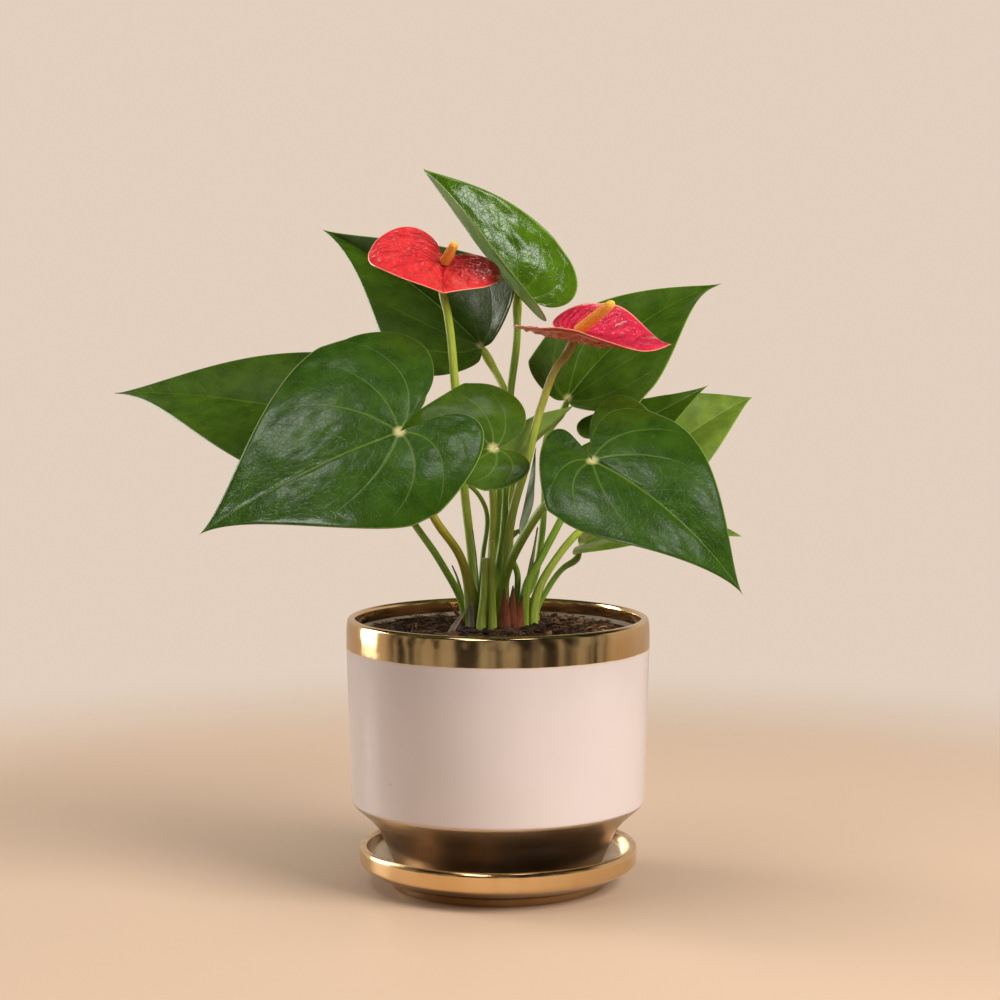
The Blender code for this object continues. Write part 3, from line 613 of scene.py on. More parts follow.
def stem(name, foot, passed, low, high, look, sizes=None, thickness=0.5, cut=False, flare=0.0):
    """A round stem that tapers from its foot, with fine ribs along it, a swollen foot and, where it meets
    a blade, a swelling with a bell-shaped profile. flare widens a petiole's base round 9 mm up."""
    settings = bpy.context.scene.anthurium_stem
    points, normal = stem_path(foot, passed, sizes, thickness)
    coarse = curve_through(points, 60)
    few = np.vstack([coarse[:-3:3], coarse[-1]]) if sizes else coarse[::3]
    path = curve_through(few, 110)
    along = np.linspace(0, 1, len(path))
    run = run_along(path)
    radius = low + (high - low) * along
    radius = radius * (1 + 0.25 * np.exp(-((run / 5) ** 2)) + flare * np.exp(-(((run - 9) / 10) ** 2)))
    if sizes:
        to_end = run[-1] - run
        radius = radius * (1 + settings.swelling * np.exp(-(((to_end - 6) / 4.5) ** 2)))
        radius = radius * (0.75 + 0.25 * ease(to_end, 0, 2))
    sides = 28
    angles = np.linspace(0, 2 * np.pi, sides, endpoint=False)
    ribs = 1 + settings.ribs * (np.cos(7 * angles) * 0.6 + np.cos(3 * angles + 1) * 0.8)
    wobble = 1 + 0.02 * lattice_noise(np.stack([run, 0 * run], 1), 6.0, sum(map(ord, name)))[:, None]
    radii = radius[:, None] * ribs * wobble
    if cut:
        radii[-1] *= 0.9
    grid = tube_grid(path, radii, np.array([0, 0, 1.0]), normal, sides)
    shape, quads = closed_tube(grid)
    if cut:
        shape[-1] -= normal * 0.35
    ends = np.array([0.0, 1.0])
    values = {"stalk": np.stack([
        np.concatenate([np.repeat(along, sides), ends]),
        np.concatenate([np.repeat(run, sides), run[[0, -1]]]),
        np.concatenate([np.tile(angles, len(path)), [0, 0]]),
    ], axis=1)}
    values["cap"] = np.concatenate([np.repeat((along > 0.999).astype(float), sides), [0, 1]]) * float(cut)
    add_piece(name + "_fine", shape, quads, look, (name,), values)


def turned(name, profile, look, node, steps, bump=None):
    """A solid of revolution: the closed profile of (radius, height) carried round the upright axis. bump
    moves the points of the finished grid."""
    profile = np.asarray(profile, float)
    angles = np.linspace(0, 2 * np.pi, steps, endpoint=False)
    grid = np.stack([
        profile[:, :1] * np.cos(angles), profile[:, :1] * np.sin(angles),
        np.repeat(profile[:, 1:], steps, axis=1),
    ], axis=-1)
    if bump is not None:
        grid = bump(grid)
    index = np.arange(len(profile) * steps).reshape(len(profile), steps)
    on_axis = profile[:, 0] == 0
    index[on_axis] = index[on_axis][:, :1]
    if not on_axis.any():
        index = np.concatenate([index, index[:1]])
    points, quads, _ = used_points(grid.reshape(-1, 3), grid_faces(index, around=True))
    add_piece(name, points, quads, look, (node,))


def rounded(profile, steps=7):
    """The profile of (radius, height, corner size) with each corner replaced by a curve through two points
    that lie the corner size along its sides: (1-t)^2 A + 2t(1-t) B + t^2 C."""
    profile = np.asarray(profile, float)
    corner, size = profile[:, :2], profile[:, 2:]
    before, after = np.roll(corner, 1, axis=0) - corner, np.roll(corner, -1, axis=0) - corner
    room = np.minimum(np.linalg.norm(before, axis=1), np.linalg.norm(after, axis=1))[:, None] * 0.48
    size = np.minimum(size, room)
    first, last = corner + unit(before) * size, corner + unit(after) * size
    t = np.linspace(0, 1, steps)[:, None, None]
    curve = (1 - t) ** 2 * first + 2 * t * (1 - t) * corner + t**2 * last
    return curve.transpose(1, 0, 2).reshape(-1, 2)


def filled(profile, most, closed=True):
    """The profile with extra points so that no step is longer than most. A closed one runs back to its
    start."""
    path = np.vstack([profile, profile[:1]]) if closed else profile
    knots = run_along(path)
    own = knots[:-1] if closed else knots
    at = np.unique(np.round(np.concatenate([own, np.arange(0, knots[-1], most)]), 3))
    at = at[np.concatenate([[True], np.diff(at) > 0.02])]
    if not closed:
        at[-1] = knots[-1]
    return np.stack([np.interp(at, knots, path[:, 0]), np.interp(at, knots, path[:, 1])], axis=1)


# Finishes


class Graph:
    """Adds nodes to a node tree in rows."""

    def __init__(self, tree):
        self.tree = tree
        self.count = 0

    def add(self, kind, inputs=None, **settings):
        node = self.tree.nodes.new(kind)
        node.location = (self.count % 9 * 190, -(self.count // 9) * 260)
        self.count += 1
        for key, value in settings.items():
            setattr(node, key, value)
        for key, value in (inputs or {}).items():
            if isinstance(value, bpy.types.NodeSocket):
                self.tree.links.new(value, node.inputs[key])
            else:
                node.inputs[key].default_value = value
        return node

    def math(self, operation, *numbers):
        inputs = dict(enumerate(numbers))
        return self.add("ShaderNodeMath", inputs, operation=operation).outputs[0]

    def times(self, first, second):
        return self.math("MULTIPLY", first, second)

    def plus(self, first, second):
        return self.math("ADD", first, second)

    def minus(self, first, second):
        return self.math("SUBTRACT", first, second)

    def hypot(self, x, y):
        return self.math("SQRT", self.plus(self.times(x, x), self.times(y, y)))

    def between(self, value, low, high, start=0.0, end=1.0):
        """start where value is low, end where it is high, and an S between."""
        inputs = {"Value": value, "From Min": low, "From Max": high, "To Min": start, "To Max": end}
        return self.add("ShaderNodeMapRange", inputs, interpolation_type="SMOOTHSTEP").outputs[0]

    def mix(self, factor, first, second, blend="MIX"):
        """Blends two colours, each a socket or three numbers."""
        first, second = (c if isinstance(c, bpy.types.NodeSocket) else (*c, 1) for c in (first, second))
        inputs = {0: factor, 6: first, 7: second}
        return self.add("ShaderNodeMix", inputs, data_type="RGBA", blend_type=blend).outputs[2]

    def noise(self, place, scale, detail=2.0, roughness=0.5, distortion=0.0):
        inputs = {"Vector": place, "Scale": scale, "Detail": detail, "Roughness": roughness}
        return self.add("ShaderNodeTexNoise", {**inputs, "Distortion": distortion}).outputs["Fac"]

    def stretched(self, place, scale):
        return self.add("ShaderNodeMapping", {"Vector": place, "Scale": scale}).outputs[0]

    def parts(self, vector):
        return self.add("ShaderNodeSeparateXYZ", {0: vector}).outputs

    def attribute(self, name, field="Vector"):
        return self.add("ShaderNodeAttribute", attribute_name=name).outputs[field]

    def object_place(self):
        return self.add("ShaderNodeTexCoord").outputs["Object"]


def new_group(name, inputs, outputs):
    """A shader node group with the named sockets, its graph and the sockets' inner ends."""
    tree = bpy.data.node_groups.new(name, "ShaderNodeTree")
    for label, kind, default in inputs:
        socket = tree.interface.new_socket(name=label, in_out="INPUT", socket_type=kind)
        if default is not None:
            socket.default_value = default
    for label, kind in outputs:
        tree.interface.new_socket(name=label, in_out="OUTPUT", socket_type=kind)
    graph = Graph(tree)
    entry = graph.add("NodeGroupInput")
    leave = graph.add("NodeGroupOutput")
    return tree, graph, entry.outputs, leave.inputs


def vein_group():
    """Masks of a blade's veins and margin, from its point attributes.
    Main: midrib and fan. Fine: side veins and the net between them. Margin: a thin line round the edge."""
    found = bpy.data.node_groups.get("Blade veins")
    if found:
        return found
    tree, g, given, result = new_group(
        "Blade veins",
        [("Sheet", "NodeSocketVector", None), ("Veins", "NodeSocketVector", None),
         ("Width", "NodeSocketFloat", 0.27), ("Net scale", "NodeSocketFloat", 0.42)],
        [("Main", "NodeSocketFloat"), ("Fine", "NodeSocketFloat"), ("Margin", "NodeSocketFloat"),
         ("Foot", "NodeSocketFloat"), ("Upper", "NodeSocketFloat")],
    )
    x, y, margin = g.parts(given["Sheet"])
    fan, side, upper = g.parts(given["Veins"])
    reach = g.hypot(x, y)
    thin = g.between(reach, 0.0, 90.0, 1.5, 0.45)
    width = g.times(given["Width"], thin)
    wide = g.times(width, 2.1)
    midrib = g.between(g.math("ABSOLUTE", x), g.times(wide, 0.4), wide, 1, 0)
    midrib = g.times(midrib, g.between(y, -0.5, 0.5))
    off = g.math("ABSOLUTE", g.minus(fan, g.math("ROUND", fan)))
    off = g.times(off, g.times(reach, 0.6))
    fans = g.between(off, g.times(width, 0.3), g.times(width, 1.5), 1, 0)
    fans = g.times(fans, g.times(g.between(fan, 0.4, 0.6), g.between(fan, 3.3, 3.5, 1, 0)))
    fans = g.times(fans, g.times(g.between(reach, 15, 70, 0.85, 0.25), g.between(margin, 0.5, 8)))
    g.tree.links.new(g.math("MAXIMUM", midrib, fans), result["Main"])
    rows = g.math("PINGPONG", side, SIDE_VEIN_STEP / 2)
    rows = g.between(rows, 0.1, g.times(width, 1.6), 1, 0)
    rows = g.times(rows, g.times(g.between(fan, 0.85, 1.15, 1, 0.25), g.between(margin, 1, 7)))
    place = g.add("ShaderNodeVectorMath", {0: given["Sheet"], 1: (1, 1, 0)}, operation="MULTIPLY").outputs[0]
    warp = g.add("ShaderNodeTexNoise", {"Vector": place, "Scale": 0.25, "Detail": 2.0}).outputs["Color"]
    warp = g.add("ShaderNodeVectorMath", {0: warp, "Scale": 3.0}, operation="SCALE").outputs[0]
    place = g.add("ShaderNodeVectorMath", {0: place, 1: warp}, operation="ADD").outputs[0]
    inputs = {"Vector": place, "Scale": given["Net scale"]}
    net = g.add("ShaderNodeTexVoronoi", inputs, feature="DISTANCE_TO_EDGE").outputs["Distance"]
    net = g.between(net, 0.0, 0.13, 0.5, 0)
    g.tree.links.new(g.math("MAXIMUM", rows, g.times(net, g.between(margin, 0.5, 4))), result["Fine"])
    g.tree.links.new(g.between(margin, 0.15, 0.65, 1, 0), result["Margin"])
    g.tree.links.new(g.between(reach, 0.8, 3.4, 1, 0), result["Foot"])
    g.tree.links.new(upper, result["Upper"])
    return tree


def new_look(name, roughness=0.5, metallic=0.0, **sockets):
    """A material with one Principled shader whose constant sockets are set, and its graph."""
    made = bpy.data.materials.new(name)
    made.use_nodes = True
    shader = made.node_tree.nodes["Principled BSDF"]
    shader.location = (1900, 0)
    made.node_tree.nodes["Material Output"].location = (2200, 0)
    shader.inputs["Roughness"].default_value = roughness
    shader.inputs["Metallic"].default_value = metallic
    for label, value in sockets.items():
        shader.inputs[label.replace("_", " ")].default_value = value
    graph = Graph(made.node_tree)

    def feed(label, source):
        made.node_tree.links.new(source, shader.inputs[label])

    def bump(height, distance, strength=1.0):
        inputs = {"Height": height, "Distance": distance, "Strength": strength}
        feed("Normal", graph.add("ShaderNodeBump", inputs).outputs["Normal"])

    return made, graph, feed, bump


def leaf_look(name, base, strong_veins=0.6, gloss=0.3, patch=None, shine=0.5):
    """Waxy leaf: mottled green, pale veins and margin, a matter and paler underside."""
    settings = bpy.context.scene.anthurium_leaf
    made, g, feed, bump = new_look(f"leaf {name}", gloss, Coat_Roughness=0.16, Specular_IOR_Level=shine)
    sheet, veins = g.attribute("sheet"), g.attribute("veins")
    masks = g.add("ShaderNodeGroup", {"Sheet": sheet, "Veins": veins}, node_tree=vein_group()).outputs
    flat = g.stretched(sheet, (1, 1, 0))
    mottle = g.noise(flat, 0.09, 3, 0.6)
    fleck = g.noise(flat, 1.3, 3, 0.7)
    base = np.array(base)
    tone = g.mix(g.between(mottle, 0.3, 0.7), base * 0.72, base * [1.35, 1.22, 1.3])
    tone = g.mix(g.between(fleck, 0.45, 0.75, 0, 0.35), tone, base * 1.7)
    if patch:
        blotch = g.between(g.noise(flat, 0.12, 3, 0.6, 0.6), 0.5, 0.66)
        tone = g.mix(g.times(blotch, g.between(g.parts(sheet)[1], 18, 4)), tone, patch)
    vein = np.array(settings.vein)
    tone = g.mix(g.times(masks["Fine"], 0.16 * strong_veins), tone, vein)
    tone = g.mix(g.times(masks["Main"], strong_veins), tone, vein)
    under = np.array(settings.under) * 0.6 + base * 0.9
    back = g.mix(g.between(mottle, 0.3, 0.7), under * 0.85, under * 1.15)
    drawn = g.math("MAXIMUM", masks["Main"], g.times(masks["Fine"], 0.4))
    back = g.mix(g.times(drawn, 0.7), back, vein * 1.15)
    tone = g.mix(masks["Upper"], back, tone)
    tone = g.mix(g.times(masks["Margin"], 0.75), tone, vein * 1.15)
    tone = g.mix(masks["Foot"], tone, (0.42, 0.38, 0.16))
    feed("Base Color", tone)
    rough = g.between(g.noise(flat, 0.35, 4, 0.65), 0.25, 0.75, gloss - 0.03, gloss + 0.07)
    feed("Roughness", g.plus(rough, g.between(masks["Upper"], 0, 1, 0.25, 0)))
    feed("Coat Weight", g.between(masks["Upper"], 0, 1, 0, 0.2))
    grain = g.noise(flat, 2.6, 3, 0.6)
    wrinkle = g.noise(g.stretched(sheet, (1, 0.6, 0)), 0.75, 2, 0.5)
    height = g.plus(g.times(grain, 0.08), g.times(wrinkle, 0.4))
    height = g.minus(height, g.times(masks["Fine"], 0.35))
    height = g.minus(height, g.times(masks["Main"], 0.6))
    bump(height, 0.00018, 0.8)
    return made


def spathe_look(name, base, under):
    """Lacquered red: painted shade darkens the furrows and veins; an orange underside and a thin pale rim."""
    settings = bpy.context.scene.anthurium_flower
    made, g, feed, bump = new_look(f"spathe {name}", 0.24, Coat_Roughness=0.07, Specular_IOR_Level=0.6)
    sheet, veins = g.attribute("sheet"), g.attribute("veins")
    inputs = {"Sheet": sheet, "Veins": veins, "Width": 0.22, "Net scale": 0.5}
    masks = g.add("ShaderNodeGroup", inputs, node_tree=vein_group()).outputs
    flat = g.stretched(sheet, (1, 1, 0))
    base = np.array(base)
    tone = g.mix(g.between(g.noise(flat, 0.16, 3, 0.6), 0.3, 0.7), base * 0.85, base * [1.1, 1.5, 1.3])
    # Painted shade: the side veins and vein net, which are grooves of the bump, and the midrib and fan veins
    # in the furrows are darkened.
    tone = g.mix(g.times(masks["Fine"], 0.25), tone, base * 0.6)
    tone = g.mix(g.times(masks["Main"], 0.55), tone, base * 0.5)
    tone = g.mix(masks["Upper"], under, tone)
    tone = g.mix(g.times(masks["Margin"], 0.9), tone, settings.rim)
    feed("Base Color", tone)
    feed("Roughness", g.between(g.noise(flat, 0.5, 3), 0.3, 0.7, 0.12, 0.22))
    feed("Coat Weight", g.between(masks["Upper"], 0, 1, 0.25, 0.8))
    height = g.plus(g.times(g.noise(flat, 0.7, 3, 0.55), 1.4), g.times(g.noise(flat, 2.4, 2), 0.25))
    height = g.minus(height, g.times(masks["Fine"], 0.8))
    bump(height, 0.0003, 0.8)
    return made


def spadix_look(name, base):
    """Matt beads: painted shade darkens the hollows between them; paler and yellower towards the tip."""
    made, g, feed, bump = new_look(f"spadix {name}", 0.5)
    bead, along = g.parts(g.attribute("spadix"))[:2]
    base = np.array(base)
    # Painted shade: where the bead height is low, between the beads, the tone is darker and redder.
    tone = g.mix(g.between(bead, 0.0, 0.75), base * [0.72, 0.42, 0.4], base)
    tone = g.mix(g.between(along, 0.55, 1.0, 0, 0.55), tone, base * [1.0, 1.35, 1.3])
    tone = g.mix(g.between(g.noise(g.object_place(), 900, 2), 0.55, 0.75, 0, 0.4), tone, (0.9, 0.66, 0.25))
    feed("Base Color", tone)
    feed("Roughness", g.between(bead, 0.2, 0.9, 0.62, 0.4))
    bump(g.noise(g.object_place(), 2600, 3), 0.00008, 0.7)
    return made


def stem_look(name, base, foot, top, freckle=0.25):
    """A stem's skin: its colour runs from foot to top, with fine streaks along it and a few freckles."""
    made, g, feed, bump = new_look(f"stem {name}", 0.36, Coat_Roughness=0.2)
    along, run, angle = g.parts(g.attribute("stalk"))
    turn = g.add("ShaderNodeCombineXYZ", {
        0: g.times(g.math("COSINE", angle), 3.0), 1: g.times(g.math("SINE", angle), 3.0),
        2: g.times(run, 0.12),
    }).outputs[0]
    streak = g.noise(turn, 1.6, 4, 0.65)
    tone = g.mix(g.between(along, 0.0, 0.3), foot, base)
    tone = g.mix(g.between(along, 0.55, 1.0), tone, top)
    dark = g.mix(1.0, tone, (0.55, 0.6, 0.5), "MULTIPLY")
    tone = g.mix(g.between(streak, 0.3, 0.62, 0.85, 0.0), tone, dark)
    dots = g.noise(g.object_place(), 1300, 2)
    tone = g.mix(g.between(dots, 0.6, 0.72, 0, freckle), tone, (0.45, 0.42, 0.18))
    cap = g.attribute("cap", "Fac")
    tone = g.mix(g.between(cap, 0.3, 0.9), tone, (0.55, 0.5, 0.27))
    feed("Base Color", tone)
    feed("Roughness", g.between(streak, 0.3, 0.7, 0.3, 0.46))
    bump(g.plus(streak, g.times(g.noise(g.object_place(), 2200, 2), 0.3)), 0.00012, 0.6)
    return made


def sheath_look(name, base, edge, tip, rough):
    """A sheath: long fibres, a coloured edge and a darker tip."""
    made, g, feed, bump = new_look(f"sheath {name}", rough)
    across, along, _ = g.parts(g.attribute("sheath"))
    place = g.add("ShaderNodeCombineXYZ", {0: across, 1: g.times(along, 0.35), 2: 0.0}).outputs[0]
    fibres = g.noise(place, 9, 4, 0.7)
    base = np.array(base)
    tone = g.mix(g.between(fibres, 0.3, 0.7), base * 0.45, base * 1.6)
    spots = g.between(g.noise(g.object_place(), 240, 3), 0.52, 0.7, 0, 0.6)
    tone = g.mix(spots, tone, base * [0.5, 0.42, 0.4])
    tone = g.mix(g.between(g.math("ABSOLUTE", across), 0.72, 1.0, 0, 0.85), tone, edge)
    tone = g.mix(g.between(along, 0.78, 1.0, 0, 0.85), tone, tip)
    feed("Base Color", tone)
    feed("Roughness", g.between(fibres, 0.3, 0.7, rough - 0.1, min(rough + 0.1, 1)))
    bump(fibres, 0.00025, 0.9)
    return made


def glaze_group():
    """What the glazes share. Height: the height, with a hand-painted wobble. Radius: from the upright axis.
    Peel: a faint uneven surface. Specks: rare small dots."""
    found = bpy.data.node_groups.get("Glaze flow")
    if found:
        return found
    tree, g, given, result = new_group(
        "Glaze flow",
        [("Place", "NodeSocketVector", None), ("Wobble", "NodeSocketFloat", 0.0002)],
        [("Height", "NodeSocketFloat"), ("Radius", "NodeSocketFloat"), ("Peel", "NodeSocketFloat"),
         ("Specks", "NodeSocketFloat")],
    )
    x, y, z = g.parts(given["Place"])
    offset = g.times(g.minus(g.noise(given["Place"], 90, 3), 0.5), given["Wobble"])
    g.tree.links.new(g.plus(z, offset), result["Height"])
    g.tree.links.new(g.hypot(x, y), result["Radius"])
    peel = g.plus(g.noise(given["Place"], 55, 2), g.times(g.noise(given["Place"], 420, 2), 0.12))
    g.tree.links.new(peel, result["Peel"])
    pits = g.add("ShaderNodeTexVoronoi", {"Vector": given["Place"], "Scale": 95.0}).outputs["Distance"]
    rare = g.noise(given["Place"], 35, 2)
    specks = g.times(g.between(pits, 0.035, 0.055, 1, 0), g.between(rare, 0.6, 0.64))
    g.tree.links.new(specks, result["Specks"])
    return tree


def metal_tones(g, place, metal):
    """Metallic glaze colour with faint brighter and redder clouds, and the masks of clouds and scuffs."""
    metal = np.array(metal)
    cloud = g.noise(place, 38, 3, 0.6)
    bright = np.minimum(metal * [1.06, 1.08, 1.15], 1)
    tone = g.mix(g.between(cloud, 0.3, 0.7), metal * [0.93, 0.86, 0.8], bright)
    scuff = g.noise(g.stretched(place, (1, 1, 6)), 210, 4, 0.7)
    return g.mix(g.between(scuff, 0.58, 0.8, 0, 0.3), tone, metal * [0.8, 0.7, 0.6]), cloud, scuff


def pot_look():
    """White glaze with a gold band at the rim, inside and out, and a bronze foot. The borders follow
    height, with a hand-painted wobble."""
    settings = bpy.context.scene.anthurium_pot
    made, g, feed, bump = new_look("pot glazes", 0.1, Specular_IOR_Level=0.6)
    place = g.object_place()
    flow = g.add("ShaderNodeGroup", {"Place": place, "Wobble": 0.0006}, node_tree=glaze_group()).outputs
    top, radius = POT_BOX[1].z, POT_BOX[1].x
    inside = g.between(flow["Radius"], radius - 0.85 * settings.lip, radius - 0.7 * settings.lip, 1, 0)
    inside = g.times(inside, g.between(flow["Height"], top - 0.075, top - 0.07))
    levels = {0: inside, 2: top - settings.band, 3: top - settings.inner_band}
    border = g.add("ShaderNodeMix", levels).outputs[0]
    over = g.minus(flow["Height"], border)
    gold = g.between(over, -0.00012, 0.00012)
    foot_level = POT_BOX[0].z + 0.0303
    bronze = g.between(flow["Height"], foot_level + 0.0002, foot_level - 0.0001)
    golden, cloud, scuff = metal_tones(g, place, settings.gold)
    brown, _, _ = metal_tones(g, place, settings.bronze)
    white = np.array(settings.white)
    glaze = g.mix(g.between(g.noise(place, 24, 3), 0.3, 0.7), white * 0.97, np.minimum(white * 1.02, 1))
    glaze = g.mix(inside, glaze, settings.cream)
    glaze = g.mix(g.times(flow["Specks"], 0.7), glaze, (0.25, 0.15, 0.08))
    halo = g.times(g.between(over, -0.0011, -0.0001, 0, 0.3), g.minus(1.0, gold))
    glaze = g.mix(halo, glaze, (0.5, 0.34, 0.2))
    tone = g.mix(bronze, g.mix(gold, glaze, golden), brown)
    feed("Base Color", tone)
    metal = g.math("MAXIMUM", gold, bronze)
    feed("Metallic", metal)
    rough = g.between(cloud, 0.3, 0.7, 0.09, 0.13)
    rough = g.plus(rough, g.times(bronze, 0.2))
    rough = g.plus(rough, g.times(g.between(scuff, 0.5, 0.8), 0.05))
    feed("Roughness", rough)
    height = g.plus(flow["Peel"], g.times(gold, 0.4))
    bump(height, 0.00022, 0.35)
    return made


def saucer_look():
    """Gold glaze, thinner and browner along the worn top edge, browner towards the foot, and greyer inside as
    a painted reflection of the pot's underside.
    """
    settings = bpy.context.scene.anthurium_pot
    made, g, feed, bump = new_look("saucer glaze", 0.14, 1.0)
    place = g.object_place()
    flow = g.add("ShaderNodeGroup", {"Place": place, "Wobble": 0.0006}, node_tree=glaze_group()).outputs
    golden, cloud, scuff = metal_tones(g, place, settings.gold)
    rim = SAUCER_BOX[1].z
    inside = g.between(flow["Radius"], SAUCER_BOX[1].x - 0.0036, SAUCER_BOX[1].x - 0.0026, 1, 0)
    inside = g.times(inside, g.between(flow["Height"], 0.0046, 0.005))
    # Painted reflection: the inside is tinted grey where the gold glaze mirrors the pot's underside.
    tone = g.mix(g.times(inside, 0.75), golden, (0.5, 0.42, 0.34))
    worn = g.between(flow["Height"], rim - 0.0009, rim - 0.0002)
    worn = g.times(worn, g.between(g.noise(place, 160, 3), 0.45, 0.6))
    tone = g.mix(g.times(worn, 0.3), tone, (0.45, 0.32, 0.2))
    # Browner towards the foot, below the upright band.
    foot = g.between(flow["Height"], 0.0062, 0.0045)
    tone = g.mix(g.times(foot, 0.55), tone, (0.4, 0.26, 0.14))
    feed("Base Color", tone)
    rough = g.plus(g.between(cloud, 0.3, 0.7, 0.13, 0.19), g.times(worn, 0.08))
    feed("Roughness", g.plus(rough, g.times(g.between(scuff, 0.5, 0.8), 0.06)))
    bump(flow["Peel"], 0.00025, 0.35)
    return made


def soil_look():
    """Damp peat: black between the crumbs, brown on top, with pale specks."""
    settings = bpy.context.scene.anthurium_soil
    made, g, feed, bump = new_look("soil", 0.9, Specular_IOR_Level=0.2)
    place = g.object_place()
    tone = g.mix(g.between(g.noise(place, 420, 5, 0.7), 0.38, 0.64), settings.dark, settings.brown)
    tone = g.mix(g.between(g.noise(place, 1500, 3, 0.7), 0.62, 0.7, 0, 0.7), tone, (0.2, 0.12, 0.07))
    feed("Base Color", tone)
    feed("Roughness", g.between(g.noise(place, 300, 3), 0.3, 0.7, 0.6, 1.0))
    bump(g.noise(place, 700, 6, 0.75), 0.0012, 1.0)
    return made


def litter_look(name, dark, light, rough):
    """Loose bits: each has its own tone between dark and light, with grain."""
    made, g, feed, bump = new_look(name, rough, Specular_IOR_Level=0.25)
    tone = g.mix(g.attribute("tone", "Fac"), dark, light)
    grain = g.noise(g.object_place(), 1700, 4, 0.7)
    dull = g.mix(1.0, tone, (0.4, 0.38, 0.36), "MULTIPLY")
    feed("Base Color", g.mix(g.between(grain, 0.35, 0.65), dull, tone))
    feed("Roughness", g.between(grain, 0.3, 0.7, rough, min(1, rough + 0.15)))
    bump(grain, 0.0003, 0.9)
    return made


def crown_look():
    """Dark bark with paler ridges."""
    made, g, feed, bump = new_look("crown", 0.75)
    place = g.object_place()
    ridges = g.between(g.noise(place, 330, 4, 0.7), 0.4, 0.65)
    feed("Base Color", g.mix(ridges, (0.014, 0.009, 0.007), (0.08, 0.046, 0.028)))
    feed("Roughness", g.between(g.noise(place, 500, 3), 0.3, 0.7, 0.6, 0.95))
    bump(g.noise(place, 520, 5, 0.7), 0.0008, 1.0)
    return made


# Operators


class ANTHURIUM_OT_pot(bpy.types.Operator):
    """Turns the pot on its profile, with softened corners, and glazes it"""

    bl_idname = "anthurium.pot"
    bl_label = "Pot"

    def execute(self, context):
        s = context.scene.anthurium_pot
        low, high, radius = POT_BOX[0].z / MM, POT_BOX[1].z / MM, POT_BOX[1].x / MM
        lip, wall, taper, band = s.lip / MM, s.wall / MM, s.taper / MM, s.band / MM
        body, corner, inner = radius - taper, low + 29.5, radius - lip
        neck, foot, drain = radius - 14.8, radius - 21, 6
        profile = [
            (radius - 0.5 * lip, high, 1.6), (radius - 0.12 * lip, high - 0.7, 1.2),
            (radius, high - 0.35 * band, 2.0), (radius, high - band, 0.6),
            (body, corner + 1.2, 0.9), (body - 0.65, corner, 0.6), (body - 6.5, corner - 5.2, 1.2),
            (neck + 2.2, low + 19.9, 3.0), (neck, low + 15.5, 2.5), (foot + 1.5, low + 4.65, 4.0),
            (foot, low, 0.6), (foot - wall, low, 0.5), (foot - wall - 2, low + 2, 0.5),
            (drain, low + 2, 0.3), (drain, low + 7, 0.3), (foot - wall, low + 7, 2.0),
            (neck - wall, low + 15.5, 3.0), (body - 6.5 - wall, corner - 5.2 + wall, 2.0),
            (inner - taper, corner + wall, 2.0), (inner, high - 0.5 * band, 1.0),
            (radius - 0.93 * lip, high - 1.1, 1.0), (radius - 0.8 * lip, high - 0.1, 0.7),
        ]
        turned("pot_glazed", filled(rounded(profile), 2.4), pot_look(), "pot", steps=288)
        return {"FINISHED"}


class ANTHURIUM_OT_saucer(bpy.types.Operator):
    """Turns the saucer on its profile and glazes it"""

    bl_idname = "anthurium.saucer"
    bl_label = "Saucer"

    def execute(self, context):
        s = context.scene.anthurium_pot
        high, radius = SAUCER_BOX[1].z / MM, SAUCER_BOX[1].x / MM
        foot, rim, under = radius - 12.5, 3.2, high - s.saucer_band / MM
        profile = [
            (foot - 1, 5, 1.0), (foot + 4, 7.2, 2.5), (radius - rim - 1, 11, 2.5),
            (radius - rim, high - 0.6, 0.8), (radius - 0.6 * rim, high, 0.9),
            (radius - 0.2 * rim, high - 0.1, 0.8), (radius, high - 1.4, 1.0),
            (radius - 0.2, under + 1.2, 1.2), (radius - 1.5, under, 1.2), (foot + 5, 5, 2.0),
            (foot, 3.5, 1.0), (foot - 1, 0, 0.5), (foot - 4, 0, 0.3), (foot - 5, 0.8, 0.3),
        ]
        curve = filled(np.vstack([[0, 5], rounded(profile), [0, 0.8]]), 2.4, closed=False)
        turned("saucer_glazed", curve, saucer_look(), "saucer", steps=288)
        return {"FINISHED"}


def soil_height(points):
    """How far the crumbly top stands over the smooth bed, in shares of the lump height."""
    lumps = lattice_noise(points, 7.5, 3) * 0.9 + np.abs(lattice_noise(points, 3.1, 4)) * 1.3
    return lumps + 0.5 * lattice_noise(points, 1.4, 5) - 0.6


def bed_level(reach, edge, top):
    """Height of the smooth bed: level round the crown, then lower towards the wall."""
    return top - SOIL_FALL * ease(reach, 20, edge)


def litter_quads(index):
    """Quads of many small tubes at once. index holds the point numbers as tube, ring and place round it."""
    around = np.concatenate([index, index[..., :1]], axis=2)
    corners = [around[:, :-1, :-1], around[:, :-1, 1:], around[:, 1:, 1:], around[:, 1:, :-1]]
    return np.stack(corners, -1).reshape(-1, 4)


